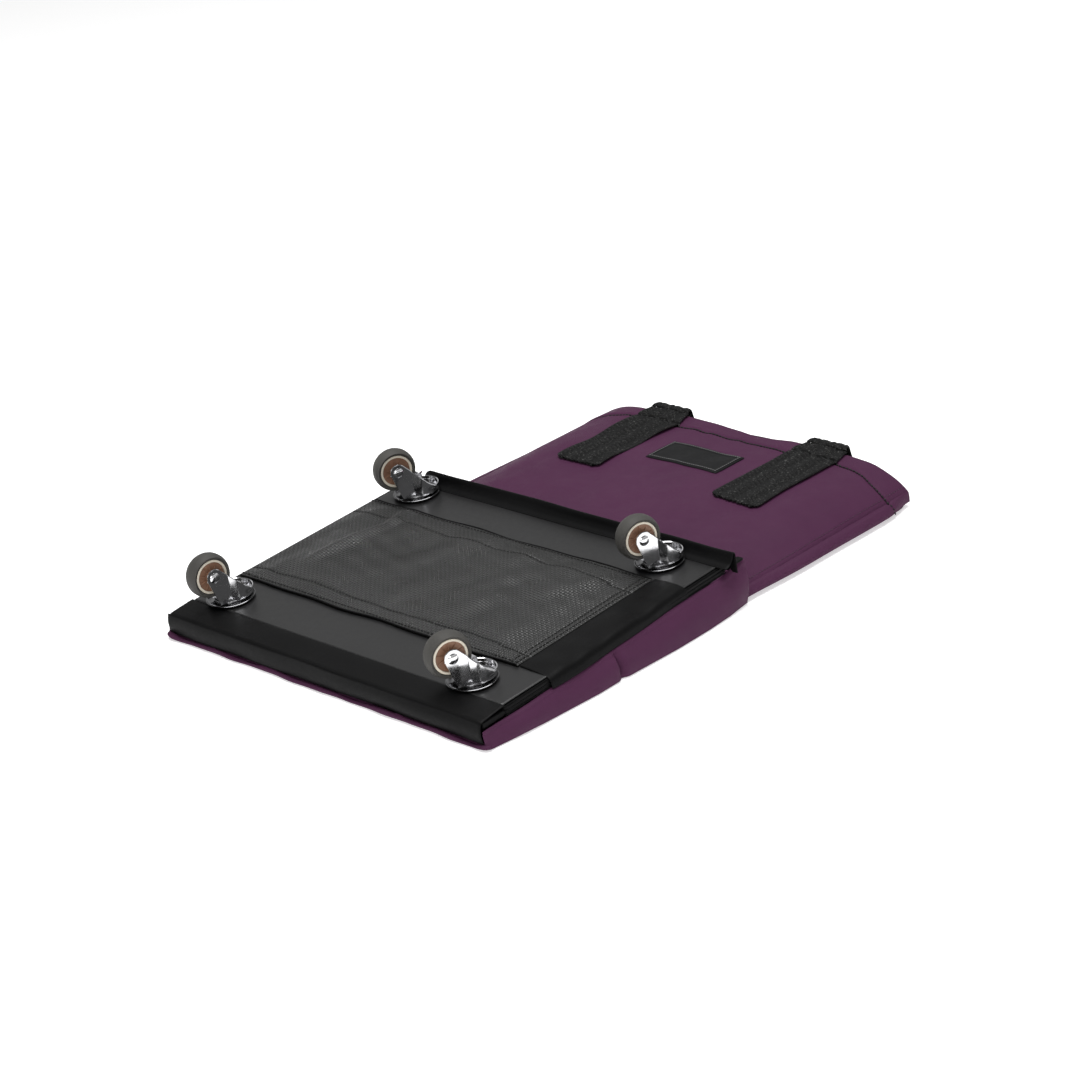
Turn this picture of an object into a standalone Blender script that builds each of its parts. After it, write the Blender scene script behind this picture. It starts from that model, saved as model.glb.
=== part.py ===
"""Rolling tote bag, folded flat on its back panel with the wheeled base folded up on top.

Metres, +Z up. X runs across the bag, Y runs from the bottom edge of the folded bag to its mouth,
and the bag lies on Z = 0. The origin is under the middle of the whole object.

The base is modelled in its own frame: its origin lies on the fold at the bottom edge, its Y runs
up the base and its Z stands on it. The base leans up a little, because the folded bag under it
is thicker towards the middle.
"""
import math

import bmesh
import bpy
from mathutils import Matrix, Vector

# ---------------------------------------------------------------- driving dimensions
BASE_WIDTH = 0.450          # wheeled base, across
BASE_DEPTH = 0.350          # wheeled base, from its fold to its far edge
BAG_LENGTH = 0.650          # bottom edge to mouth, folded
BAG_WIDTH = BASE_WIDTH      # front and back panels, across
FIT_GAP = 0.0003            # between pieces that touch

# bag
PANEL_THICK = 0.0020
MOUTH_CROWN = 0.040         # height of the front panel in the middle of the mouth
FOLD_CROWN = 0.031          # the same where the front panel leaves the base
EDGE_HEIGHT = 0.013         # height of the front panel along its long edges
CROWN_POWER = 6.0           # how flat the crown is across the bag
MOUTH_HEM = 0.022           # depth of the turned hem at the mouth
HEM_THICK = 0.0012
GUSSET_TUCK = 0.150         # how far a side gusset folds in
GUSSET_BULGE = 0.016        # how far a lower gusset stands out past the panels
UPPER_BULGE = 0.006
GUSSET_END = 0.003          # how far a lower gusset reaches past the base
BOTTOM_HEM_WIDTH = 0.015
BOTTOM_HEM_OUT = 0.008      # how far the bottom hem stands out past the base
BOTTOM_HEM_SIDE = 0.006     # the same at each side
CORNER_CUT = 0.022          # corners of the back panel at the mouth

# straps and handles
STRAP_WIDTH = 0.062
STRAP_SPACING = 0.226       # between the middles of the two straps
STRAP_LENGTH = 0.158        # sewn length, up to the mouth
WEBBING_THICK = 0.0020
GRIP_WIDTH = STRAP_WIDTH / 2    # the webbing is folded double along the grip
GRIP_THICK = 0.0040
HANDLE_SHOULDER = 0.024     # from the mouth to where the grip starts to turn
HANDLE_BOW = 0.034          # depth of the grip's bow

# label
LABEL_SIZE = (0.100, 0.048)
LABEL_FROM_MOUTH = 0.088    # middle of the label
LABEL_THICK = 0.0010

# base, in its own frame
FOLD_HEIGHT = 0.005         # the fold line above the floor
BASE_TOP = 0.023            # top of the base cover above the fold line
BASE_LEAN = math.atan2(0.022, BASE_DEPTH)
COVER_THICK = 0.0012
COVER_SKIRT = 0.0085        # how far the cover turns down at the sides
BOARD_THICK = 0.0060
NEAR_WALL_THICK = 0.0014
RAIL_THICK = 0.0016
NEAR_RAIL = (0.030, 0.112)  # from and to, along the base
FAR_RAIL = (BASE_DEPTH - 0.088, BASE_DEPTH - 0.005)
RAIL_INSET = 0.005          # rail ends from the side of the base
SLEEVE = (0.094, BASE_DEPTH - 0.066)
SLEEVE_ACROSS = (0.009 - BASE_WIDTH / 2, BASE_WIDTH / 2 - 0.041)
SLEEVE_THICK = 0.0065
SLEEVE_LIFT = 0.0020
SIDE_BAND_THICK = 0.0012
SIDE_BAND_DROP = 0.010
FAR_BAND_HEIGHT = 0.0155
FAR_BAND_THICK = 0.0030
FAR_BAND_ACROSS = (0.022 - BASE_WIDTH / 2, BASE_WIDTH / 2 + 0.010)

# tucked folds of the front panel
TUCK_MARGIN = 0.018         # side margin of the folds from the panel edges
TUCK_THICK = 0.0020
TUCK_UPPER_HINGE = (-0.0105, -0.0150)   # from the top of the base at its far edge: at the hinge, at the fold
TUCK_LOWER_HINGE = (0.0285, 0.0075)     # above the floor: at the hinge, at the fold
FOLD_CLEARANCE = 0.003      # the open pivot between the two folds

# casters
CASTER_ACROSS = (0.039 - BASE_WIDTH / 2, BASE_WIDTH / 2 - 0.061)
CASTER_ALONG = (0.0507, BASE_DEPTH - 0.0301)
CASTER_YAW = {"near_left": -7.0, "near_right": -20.0, "far_left": -23.0, "far_right": -18.0}
DISC_RADIUS = 0.0255
DISC_THICK = 0.0011
DISC_LIP = 0.0016
RACE_RADII = (0.0115, 0.0165)
RACE_HEIGHT = 0.0026
CUP_RADIUS = 0.0180         # round back of the fork
CUP_CENTRE = 0.0055         # its centre, behind the kingpin
CUP_HEIGHT = 0.0062         # rim of the round back above its floor
CUP_WALL = 0.0014
KINGPIN_RADIUS = 0.0040
KINGPIN_HEAD = (0.0070, 0.0024)
AXLE_HEIGHT = 0.0360        # above the rail
TRAIL = 0.0204
ARM_CLEARANCE = 0.0012      # between the wheel and each arm
ARM_BEND = (-0.0060, -0.0010)   # where an arm steps out to the round back, along the fork
ARM_FOOT = -0.0195          # front corner of an arm at its foot
ARM_END_RADIUS = 0.0088
AXLE_RADIUS = 0.0025
AXLE_HEAD = (0.0054, 0.0027)
WHEEL_RADIUS = 0.0233
WHEEL_WIDTH = 0.0180
RIM_RADIUS = 0.0178
RIM_WALL = 0.0024
HUB_WEB = 0.0110
HUB_BOSS_RADIUS = 0.0055
RUNNING_GAP = 0.0003

# ---------------------------------------------------------------- derived places
FAR_END = BAG_LENGTH + HANDLE_SHOULDER + HANDLE_BOW + GRIP_WIDTH / 2
Y_ORIGIN = -(FAR_END - BOTTOM_HEM_OUT) / 2
HALF_BAG = BAG_WIDTH / 2
HALF_BASE = BASE_WIDTH / 2
PANEL_BOTTOM = WEBBING_THICK + FIT_GAP
PANEL_TOP = PANEL_BOTTOM + PANEL_THICK
RAIL_TOP = BASE_TOP + FIT_GAP + RAIL_THICK
FAR_EDGE = BASE_DEPTH

COLOURS = {
    "purple": ((0.095, 0.030, 0.075), 0.55, 0.0),
    "black_vinyl": ((0.016, 0.016, 0.017), 0.40, 0.0),
    "rail_coat": ((0.022, 0.022, 0.024), 0.35, 0.0),
    "woven_black": ((0.030, 0.030, 0.031), 0.35, 0.0),
    "webbing": ((0.018, 0.018, 0.018), 0.75, 0.0),
    "label": ((0.020, 0.020, 0.021), 0.50, 0.0),
    "board": ((0.150, 0.110, 0.075), 0.80, 0.0),
    "chrome": ((0.720, 0.720, 0.730), 0.16, 1.0),
    "rim_plastic": ((0.780, 0.740, 0.660), 0.45, 0.0),
    "hub_plastic": ((0.330, 0.190, 0.130), 0.50, 0.0),
    "tyre": ((0.075, 0.073, 0.070), 0.70, 0.0),
}


# ---------------------------------------------------------------- helpers
def material(slot):
    """Principled material of a colour slot, made once."""
    found = bpy.data.materials.get(slot)
    if found:
        return found
    colour, roughness, metallic = COLOURS[slot]
    made = bpy.data.materials.new(slot)
    made.use_nodes = True
    shader = made.node_tree.nodes["Principled BSDF"]
    shader.inputs["Base Color"].default_value = (*colour, 1.0)
    shader.inputs["Roughness"].default_value = roughness
    shader.inputs["Metallic"].default_value = metallic
    return made


def frame(name, parent=None, location=(0, 0, 0), rotation=(0, 0, 0)):
    """An empty that carries other objects, on a joint's axis."""
    empty = bpy.data.objects.new(name, None)
    bpy.context.scene.collection.objects.link(empty)
    empty.parent = parent
    empty.location = location
    empty.rotation_euler = rotation
    return empty


def place(name, mesh, slot, parent=None, location=(0, 0, 0), rotation=(0, 0, 0)):
    """Link a mesh as a named piece with its material."""
    if not mesh.materials:
        mesh.materials.append(material(slot))
    piece = bpy.data.objects.new(name, mesh)
    bpy.context.scene.collection.objects.link(piece)
    piece.parent = parent
    piece.location = location
    piece.rotation_euler = rotation
    return piece


def finish_mesh(name, bm, smooth_angle=math.radians(35)):
    """Close a bmesh into a mesh with its faces pointing out."""
    bmesh.ops.recalc_face_normals(bm, faces=bm.faces)
    mesh = bpy.data.meshes.new(name)
    bm.to_mesh(mesh)
    bm.free()
    mesh.shade_smooth()
    mesh.set_sharp_from_angle(angle=smooth_angle)
    return mesh


def loft(name, sections):
    """Closed solid through rings of points, each ring with the same number of points."""
    bm = bmesh.new()
    rings = [[bm.verts.new(point) for point in ring] for ring in sections]
    count = len(rings[0])
    for ring, following in zip(rings, rings[1:]):
        for index in range(count):
            after = (index + 1) % count
            bm.faces.new((ring[index], ring[after], following[after], following[index]))
    bm.faces.new(rings[0])
    bm.faces.new(rings[-1])
    return finish_mesh(name, bm)


def prism(name, outline, low, high):
    """Solid of an outline in X and Y between two heights."""
    return loft(name, [[(x, y, height) for x, y in outline] for height in (low, high)])


def box(name, across, along, up):
    """Solid box from its three (low, high) ranges."""
    outline = [(across[0], along[0]), (across[1], along[0]), (across[1], along[1]), (across[0], along[1])]
    return prism(name, outline, up[0], up[1])


def turned(name, profile, segments):
    """Solid of a closed (radius, height) profile turned about Z; radius 0 makes a pole."""
    bm = bmesh.new()
    rings = []
    for radius, height in profile:
        if radius == 0:
            rings.append([bm.verts.new((0, 0, height))])
            continue
        ring = []
        for step in range(segments):
            angle = 2 * math.pi * step / segments
            ring.append(bm.verts.new((radius * math.cos(angle), radius * math.sin(angle), height)))
        rings.append(ring)
    for ring, following in zip(rings, rings[1:] + rings[:1]):
        if len(ring) == 1 and len(following) == 1:
            continue
        for step in range(segments):
            after = (step + 1) % segments
            corners = [ring[step % len(ring)], ring[after % len(ring)],
                       following[after % len(following)], following[step % len(following)]]
            bm.faces.new(list(dict.fromkeys(corners)))
    return finish_mesh(name, bm)


def combined(name, base_mesh, steps):
    """Union or difference of meshes, worked out once into a plain mesh."""
    base = bpy.data.objects.new(name, base_mesh)
    bpy.context.scene.collection.objects.link(base)
    helpers = []
    for operation, mesh, matrix in steps:
        helper = bpy.data.objects.new(name + "_step", mesh)
        bpy.context.scene.collection.objects.link(helper)
        helper.matrix_world = matrix
        modifier = base.modifiers.new(operation.lower(), "BOOLEAN")
        modifier.operation = operation
        modifier.object = helper
        helpers.append(helper)
    evaluated = base.evaluated_get(bpy.context.evaluated_depsgraph_get())
    result = bpy.data.meshes.new_from_object(evaluated)
    result.name = name
    for used in helpers + [base]:
        bpy.data.objects.remove(used)
    result.shade_smooth()
    result.set_sharp_from_angle(angle=math.radians(35))
    return result


def smooth_step(value):
    """Ease from 0 to 1."""
    value = min(max(value, 0.0), 1.0)
    return value * value * (3 - 2 * value)


def spread(low, high, count):
    """Evenly spaced values from low to high."""
    return [low + (high - low) * index / (count - 1) for index in range(count)]


# ---------------------------------------------------------------- bag
def crown(across, along):
    """Height of the front panel's upper face."""
    run = smooth_step((along - BASE_DEPTH) / (BAG_LENGTH - BASE_DEPTH) * 1.6)
    middle = FOLD_CROWN + (MOUTH_CROWN - FOLD_CROWN) * run
    share = min(abs(across) / HALF_BAG, 1.0)
    return EDGE_HEIGHT + (middle - EDGE_HEIGHT) * (1 - share ** CROWN_POWER)


def crowned_sheet(name, across, along, columns, rows, lift, thick):
    """Closed sheet that follows the crown of the front panel, lifted off it."""
    sections = []
    for y in spread(along[0], along[1], rows):
        xs = spread(across[0], across[1], columns)
        lower = [(x, y + Y_ORIGIN, crown(x, y) + lift) for x in xs]
        upper = [(x, y + Y_ORIGIN, crown(x, y) + lift + thick) for x in reversed(xs)]
        sections.append(lower + upper)
    return loft(name, sections)


def bag_panels():
    """Back and front panels, mouth hems, bottom hem and label."""
    cut = CORNER_CUT
    along = (Y_ORIGIN, BAG_LENGTH + Y_ORIGIN)
    outline = [(-HALF_BAG, along[0]), (HALF_BAG, along[0]), (HALF_BAG, along[1] - cut),
               (HALF_BAG - cut, along[1]), (-HALF_BAG + cut, along[1]), (-HALF_BAG, along[1] - cut)]
    place("back_panel", prism("back_panel", outline, PANEL_BOTTOM, PANEL_TOP), "purple")

    start = BASE_DEPTH + 0.004
    half_panel = HALF_BAG - 0.001
    place("front_panel", crowned_sheet("front_panel", (-half_panel, half_panel),
                                       (start, BAG_LENGTH), 19, 8, -PANEL_THICK, PANEL_THICK), "purple")
    hem_start = BAG_LENGTH - MOUTH_HEM
    half_hem = half_panel * 7 / 9
    place("front_mouth_hem", crowned_sheet("front_mouth_hem", (-half_hem, half_hem),
                                           (hem_start, BAG_LENGTH - 0.001), 15, 2,
                                           -PANEL_THICK - FIT_GAP - HEM_THICK, HEM_THICK), "purple")
    half_back_hem = HALF_BAG - GUSSET_TUCK - 0.005
    place("back_mouth_hem", box("back_mouth_hem", (-half_back_hem, half_back_hem),
                                (hem_start + Y_ORIGIN, BAG_LENGTH - 0.001 + Y_ORIGIN),
                                (PANEL_TOP + FIT_GAP, PANEL_TOP + FIT_GAP + HEM_THICK)), "purple")
    place("bottom_hem", box("bottom_hem", (-HALF_BAG - BOTTOM_HEM_SIDE, HALF_BAG + BOTTOM_HEM_SIDE),
                            (Y_ORIGIN - BOTTOM_HEM_OUT, Y_ORIGIN - BOTTOM_HEM_OUT + BOTTOM_HEM_WIDTH),
                            (0.0, PANEL_BOTTOM - FIT_GAP)), "purple")
    middle = BAG_LENGTH - LABEL_FROM_MOUTH
    half_x, half_y = LABEL_SIZE[0] / 2, LABEL_SIZE[1] / 2
    place("label_patch", crowned_sheet("label_patch", (-half_x, half_x), (middle - half_y, middle + half_y),
                                       5, 3, FIT_GAP, LABEL_THICK), "label")


def upper_gusset(side):
    """Side gusset beyond the base: a flat V that folds in between the two panels."""
    leaf = PANEL_THICK * 0.7
    floor = PANEL_TOP + FIT_GAP
    inner = HALF_BAG - GUSSET_TUCK
    sections = []
    top = EDGE_HEIGHT - PANEL_THICK - 2 * FIT_GAP
    for y in spread(BASE_DEPTH + GUSSET_END + 0.002, BAG_LENGTH - 0.002, 9):
        outer = HALF_BAG + UPPER_BULGE * (1 - 2 * smooth_step((y - BAG_LENGTH) / 0.040 + 1))
        outline = [(HALF_BAG - 0.010, floor), (outer, floor + leaf), (outer, top - leaf),
                   (HALF_BAG - 0.010, top), (HALF_BAG - 0.012, top - leaf),
                   (inner + 0.012, floor + 1.2 * leaf), (inner, floor + 1.2 * leaf), (inner, floor)]
        sections.append([(side * x, y + Y_ORIGIN, z) for x, z in outline])
    return sections


def upper_gussets():
    """Both side gussets beyond the base."""
    for label, side in (("left", -1), ("right", 1)):
        name = "upper_gusset_" + label
        place(name, loft(name, upper_gusset(side)), "purple")


def base_underside(along):
    """Height above the floor of the underside of the base, at a place along the bag."""
    return FOLD_HEIGHT + (BASE_TOP - COVER_SKIRT - 0.0015) + along * math.tan(BASE_LEAN)


def lower_gussets():
    """Side gussets beside the base: two soft lobes with the fold between them."""
    for label, side in (("left", -1), ("right", 1)):
        sections = []
        for y in spread(0.004, FAR_EDGE + GUSSET_END, 16):
            lobe = abs(math.sin(2 * math.pi * min(y / (BASE_DEPTH + GUSSET_END), 1.0))) ** 0.6
            outer = HALF_BAG + GUSSET_BULGE * (0.35 + 0.65 * lobe)
            floor = PANEL_TOP + FIT_GAP
            top = base_underside(y) - 0.0015
            outline = [(HALF_BAG - 0.014, floor), (outer - 0.003, floor), (outer, floor + 0.004),
                       (outer - 0.004, (floor + top) / 2), (HALF_BAG - 0.003, top), (HALF_BAG - 0.014, top)]
            sections.append([(side * x, y + Y_ORIGIN, z) for x, z in outline])
        name = "lower_gusset_" + label
        place(name, loft(name, sections), "purple")


# ---------------------------------------------------------------- straps and handles
def straps():
    """Sewn straps on the front and back, up to the mouth."""
    start = BAG_LENGTH - STRAP_LENGTH
    for label, side in (("left", -1), ("right", 1)):
        middle = side * STRAP_SPACING / 2
        across = (middle - STRAP_WIDTH / 2, middle + STRAP_WIDTH / 2)
        name = "front_strap_" + label
        place(name, crowned_sheet(name, across, (start, BAG_LENGTH), 6, 7, FIT_GAP, WEBBING_THICK), "webbing")
        name = "back_strap_" + label
        place(name, box(name, across, (start + Y_ORIGIN, BAG_LENGTH + Y_ORIGIN), (0.0, WEBBING_THICK)), "webbing")


def handle_line(height_at, steps):
    """One half of a handle's middle line, from the mouth to the middle of the grip.

    Gives (x, y, z, width, thickness, turn) for each place, with y and z from the handle's hinge and
    turn the direction of the line in plan.
    """
    shoulder = HANDLE_SHOULDER
    half = STRAP_SPACING / 2
    line = []
    for y in spread(0.0006, shoulder, steps):
        share = y / shoulder
        width = STRAP_WIDTH + (GRIP_WIDTH - STRAP_WIDTH) * smooth_step(share)
        thick = WEBBING_THICK + (GRIP_THICK - WEBBING_THICK) * smooth_step(share)
        line.append((half, y, height_at(share), width, thick, math.pi / 2))
    for angle in spread(0, math.pi / 2, steps)[1:]:
        x, y = half * math.cos(angle), shoulder + HANDLE_BOW * math.sin(angle)
        turn = math.atan2(HANDLE_BOW * math.cos(angle), -half * math.sin(angle))
        line.append((x, y, height_at(1.0), GRIP_WIDTH, GRIP_THICK, turn))
    return line


def handle_mesh(name, height_at):
    """Handle as one band: up from the right strap, round the bow of the grip and back to the left one."""
    right = handle_line(height_at, 9)
    left = [(-x, y, z, width, thick, math.pi - turn) for x, y, z, width, thick, turn in reversed(right[:-1])]
    sections = []
    line = right + left
    for index, (x, y, z, width, thick, turn) in enumerate(line):
        before, after = line[max(index - 1, 0)], line[min(index + 1, len(line) - 1)]
        run = Vector(after[:3]) - Vector(before[:3])
        across = Vector((math.sin(turn), -math.cos(turn), 0)) * width / 2
        up = across.cross(run).normalized() * thick / 2
        middle = Vector((x, y, z))
        sections.append([middle - across - up, middle + across - up, middle + across + up, middle - across + up])
    return loft(name, sections)


def handles():
    """Front handle, which hangs over the mouth edge to the floor, and the back handle under it."""
    mouth = BAG_LENGTH + Y_ORIGIN
    back_height = GRIP_THICK / 2
    front_height = GRIP_THICK * 1.5 + 2 * FIT_GAP
    strap_height = crown(STRAP_SPACING / 2, BAG_LENGTH) + FIT_GAP + WEBBING_THICK / 2
    drop = front_height - strap_height
    front = handle_mesh("front_handle", lambda share: drop * smooth_step((share - 0.15) / 0.80))
    pivot = frame("front_handle_frame", location=(0, mouth, strap_height))
    place("front_handle", front, "webbing", parent=pivot)
    back_pivot = frame("back_handle_frame", location=(0, mouth, back_height))
    back = handle_mesh("back_handle", lambda share: 0.0)
    place("back_handle", back, "webbing", parent=back_pivot)


# ---------------------------------------------------------------- base
def base_cover(parent):
    """Vinyl cover: a top sheet turned down at both sides, at the far edge and, deeper, at the fold."""
    outer = box("cover_outer", (-HALF_BASE, HALF_BASE), (0.0, FAR_EDGE), (BASE_TOP - COVER_SKIRT, BASE_TOP))
    inner = box("cover_inner", (-HALF_BASE + COVER_THICK, HALF_BASE - COVER_THICK),
                (COVER_THICK, FAR_EDGE - COVER_THICK), (BASE_TOP - COVER_SKIRT - 0.01, BASE_TOP - COVER_THICK))
    cover = combined("base_cover", outer, [("DIFFERENCE", inner, Matrix.Identity(4))])
    place("base_cover", cover, "black_vinyl", parent=parent)
    board_top = BASE_TOP - COVER_THICK - FIT_GAP
    inset = COVER_THICK + FIT_GAP
    board = box("base_board", (-HALF_BASE + inset, HALF_BASE - inset), (inset, FAR_EDGE - inset),
                (board_top - BOARD_THICK, board_top))
    place("base_board", board, "board", parent=parent)
    wall = box("near_wall", (-HALF_BASE, HALF_BASE), (-FIT_GAP - NEAR_WALL_THICK, -FIT_GAP),
               (0.0005, BASE_TOP - 0.0008))
    place("near_wall", wall, "black_vinyl", parent=parent)


def rails(parent):
    """The two coated steel plates that carry the casters."""
    across = (-HALF_BASE + RAIL_INSET, HALF_BASE - RAIL_INSET)
    for name, along in (("near_rail", NEAR_RAIL), ("far_rail", FAR_RAIL)):
        place(name, box(name, across, along, (BASE_TOP + FIT_GAP, RAIL_TOP)), "rail_coat", parent=parent)


def sleeve_and_bands(parent):
    """Woven sleeve between the rails, the smooth band at its side and the far edge band."""
    low = RAIL_TOP + SLEEVE_LIFT
    sections = []
    for y in spread(SLEEVE[0], SLEEVE[1], 9):
        edge = min(y - SLEEVE[0], SLEEVE[1] - y) / 0.03
        top = low + SLEEVE_THICK * (0.55 + 0.45 * smooth_step(edge))
        xs = spread(SLEEVE_ACROSS[0], SLEEVE_ACROSS[1], 7)
        sections.append([(x, y, low) for x in xs] + [(x, y, top) for x in reversed(xs)])
    place("middle_sleeve", loft("middle_sleeve", sections), "woven_black", parent=parent)

    start = SLEEVE_ACROSS[1] + 0.0015
    flat_end = HALF_BASE + 0.0010
    outer = flat_end + SIDE_BAND_THICK
    low = RAIL_TOP + FIT_GAP
    outline = [(start, low), (flat_end, low), (flat_end, low - SIDE_BAND_DROP),
               (outer, low - SIDE_BAND_DROP), (outer, low + SIDE_BAND_THICK), (start, low + SIDE_BAND_THICK)]
    sections = [[(x, y, z) for x, z in outline] for y in (SLEEVE[0] + 0.002, SLEEVE[1] + 0.002)]
    place("side_band", loft("side_band", sections), "black_vinyl", parent=parent)

    low = BASE_TOP - COVER_SKIRT
    high = BASE_TOP + FAR_BAND_HEIGHT
    left, right = FAR_BAND_ACROSS
    corner = FAR_BAND_HEIGHT * 0.6
    outline = [(left, low), (right, low), (right, high)]
    outline += [(left + corner * (1 - math.sin(angle)), high - corner * (1 - math.cos(angle)))
                for angle in spread(0, math.pi / 2, 5)]
    start = FAR_EDGE + FIT_GAP
    sections = [[(x, y, z) for x, z in outline] for y in (start, start + FAR_BAND_THICK)]
    place("far_band", loft("far_band", sections), "black_vinyl", parent=parent)


def tucked_folds(parent):
    """The two folds of the front panel under the base; they meet at an open pivot."""
    half = HALF_BAG - TUCK_MARGIN
    length = BASE_DEPTH / 2
    hinge = frame("tuck_upper_frame", parent=parent, location=(0, FAR_EDGE - 0.002, BASE_TOP + TUCK_UPPER_HINGE[0]))
    slope = (TUCK_UPPER_HINGE[0] - TUCK_UPPER_HINGE[1]) / length
    sections = []
    for y in (-length + FOLD_CLEARANCE, -0.0006):
        z = y * slope
        sections.append([(-half, y, z - TUCK_THICK), (half, y, z - TUCK_THICK), (half, y, z), (-half, y, z)])
    place("tucked_fold_upper", loft("tucked_fold_upper", sections), "purple", parent=hinge)

    hinge = frame("tuck_lower_frame", location=(0, FAR_EDGE + 0.0005 + Y_ORIGIN, TUCK_LOWER_HINGE[0]))
    slope = (TUCK_LOWER_HINGE[0] - TUCK_LOWER_HINGE[1]) / length
    sections = []
    for y in (-length + FOLD_CLEARANCE, -0.0006):
        z = y * slope
        sections.append([(-half, y, z - TUCK_THICK), (half, y, z - TUCK_THICK), (half, y, z), (-half, y, z)])
    place("tucked_fold_lower", loft("tucked_fold_lower", sections), "purple", parent=hinge)


# ---------------------------------------------------------------- casters
def disc_mesh():
    """Mounting disc with a turned-up lip and a hole for the kingpin."""
    hole = KINGPIN_RADIUS + FIT_GAP
    return turned("caster_disc", [(hole, 0), (DISC_RADIUS - 0.001, 0), (DISC_RADIUS, 0.0006),
                                  (DISC_RADIUS, DISC_THICK + DISC_LIP),
                                  (DISC_RADIUS - 0.0009, DISC_THICK + DISC_LIP),
                                  (DISC_RADIUS - 0.0018, DISC_THICK), (hole, DISC_THICK)], 28)


def race_mesh():
    """Ball race: a ring with a crowned outer side."""
    inner, outer = RACE_RADII
    return turned("ball_race", [(inner, 0), (outer - 0.0006, 0), (outer, RACE_HEIGHT / 2),
                                (outer - 0.0006, RACE_HEIGHT), (inner, RACE_HEIGHT)], 20)


def cup_bottom():
    """Height of the underside of the fork's floor above the rail."""
    return FIT_GAP + DISC_THICK + FIT_GAP + RACE_HEIGHT + FIT_GAP


def fork_plan(offset):
    """Plan line of the fork's wall: two straight arms and the round back, pushed out by an offset."""
    half = WHEEL_WIDTH / 2 + ARM_CLEARANCE + offset
    radius = CUP_RADIUS - CUP_WALL + offset
    side = [(half, -TRAIL - 0.0200), (half, ARM_BEND[0] - offset * 0.5)]
    round_back = [(radius * math.cos(angle), CUP_CENTRE + radius * math.sin(angle))
                  for angle in spread(math.radians(-15), math.radians(195), 19)]
    return side + round_back + [(-x, y) for x, y in reversed(side)]


def fork_outline():
    """Side outline of the fork in (along, up): foot, round back, sloping edge and axle end."""
    low = cup_bottom() - 0.0005
    rim = cup_bottom() + CUP_HEIGHT
    points = [(ARM_FOOT, low), (0.0300, low), (0.0300, rim), (CUP_CENTRE + 0.0090, rim)]
    for angle in spread(math.radians(40), math.radians(190), 9):
        points.append((-TRAIL + ARM_END_RADIUS * math.cos(angle), AXLE_HEIGHT + ARM_END_RADIUS * math.sin(angle)))
    return points


def fork_mesh():
    """Fork: one pressed sheet, with a floor, a round back and two arms that carry the axle."""
    low = cup_bottom()
    inner = fork_plan(0.0)
    outer = fork_plan(CUP_WALL)
    wall = prism("fork_wall", outer + inner[::-1], low, AXLE_HEIGHT + ARM_END_RADIUS + 0.004)
    stand = Matrix(((0, 0, 1, 0), (1, 0, 0, 0), (0, 1, 0, 0), (0, 0, 0, 1)))
    silhouette = prism("fork_side", fork_outline(), -0.030, 0.030)
    reach = CUP_RADIUS - CUP_WALL / 2
    half = WHEEL_WIDTH / 2 + ARM_CLEARANCE + CUP_WALL / 2
    floor_plan = [(half, ARM_FOOT + 0.006), (half, ARM_BEND[0])]
    floor_plan += [(reach * math.cos(angle), CUP_CENTRE + reach * math.sin(angle))
                   for angle in spread(math.radians(-15), math.radians(195), 19)]
    floor_plan += [(-half, ARM_BEND[0]), (-half, ARM_FOOT + 0.006)]
    floor = prism("fork_floor", floor_plan, low, low + CUP_WALL)
    hole = KINGPIN_RADIUS + RUNNING_GAP
    pin_bore = turned("pin_bore", [(0, -0.01), (hole, -0.01), (hole, 0.02), (0, 0.02)], 20)
    bore = turned("axle_bore", [(0, -0.03), (AXLE_RADIUS + FIT_GAP, -0.03),
                                (AXLE_RADIUS + FIT_GAP, 0.03), (0, 0.03)], 16)
    lay = Matrix.Translation((0, -TRAIL, AXLE_HEIGHT)) @ Matrix.Rotation(math.pi / 2, 4, "Y")
    return combined("caster_fork", wall, [("INTERSECT", silhouette, stand), ("UNION", floor, Matrix.Identity(4)),
                                          ("DIFFERENCE", pin_bore, Matrix.Identity(4)), ("DIFFERENCE", bore, lay)])


def kingpin_mesh():
    """Kingpin rivet with a low domed head inside the cup."""
    head_radius, head_height = KINGPIN_HEAD
    seat = cup_bottom() + CUP_WALL + RUNNING_GAP
    return turned("kingpin", [(0, FIT_GAP), (KINGPIN_RADIUS, FIT_GAP), (KINGPIN_RADIUS, seat),
                              (head_radius, seat), (head_radius, seat + head_height * 0.35),
                              (head_radius * 0.6, seat + head_height * 0.85), (0, seat + head_height)], 16)


def axle_mesh():
    """Axle along Z with a domed head at each end."""
    arm_face = WHEEL_WIDTH / 2 + ARM_CLEARANCE + CUP_WALL + FIT_GAP
    radius, height = AXLE_HEAD
    head = [(radius, arm_face), (radius, arm_face + height * 0.3), (radius * 0.6, arm_face + height * 0.85)]
    profile = [(0, -arm_face - height)] + [(r, -z) for r, z in reversed(head)] + [(AXLE_RADIUS, -arm_face)]
    profile += [(AXLE_RADIUS, arm_face)] + head + [(0, arm_face + height)]
    return turned("axle", profile, 16)


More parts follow.
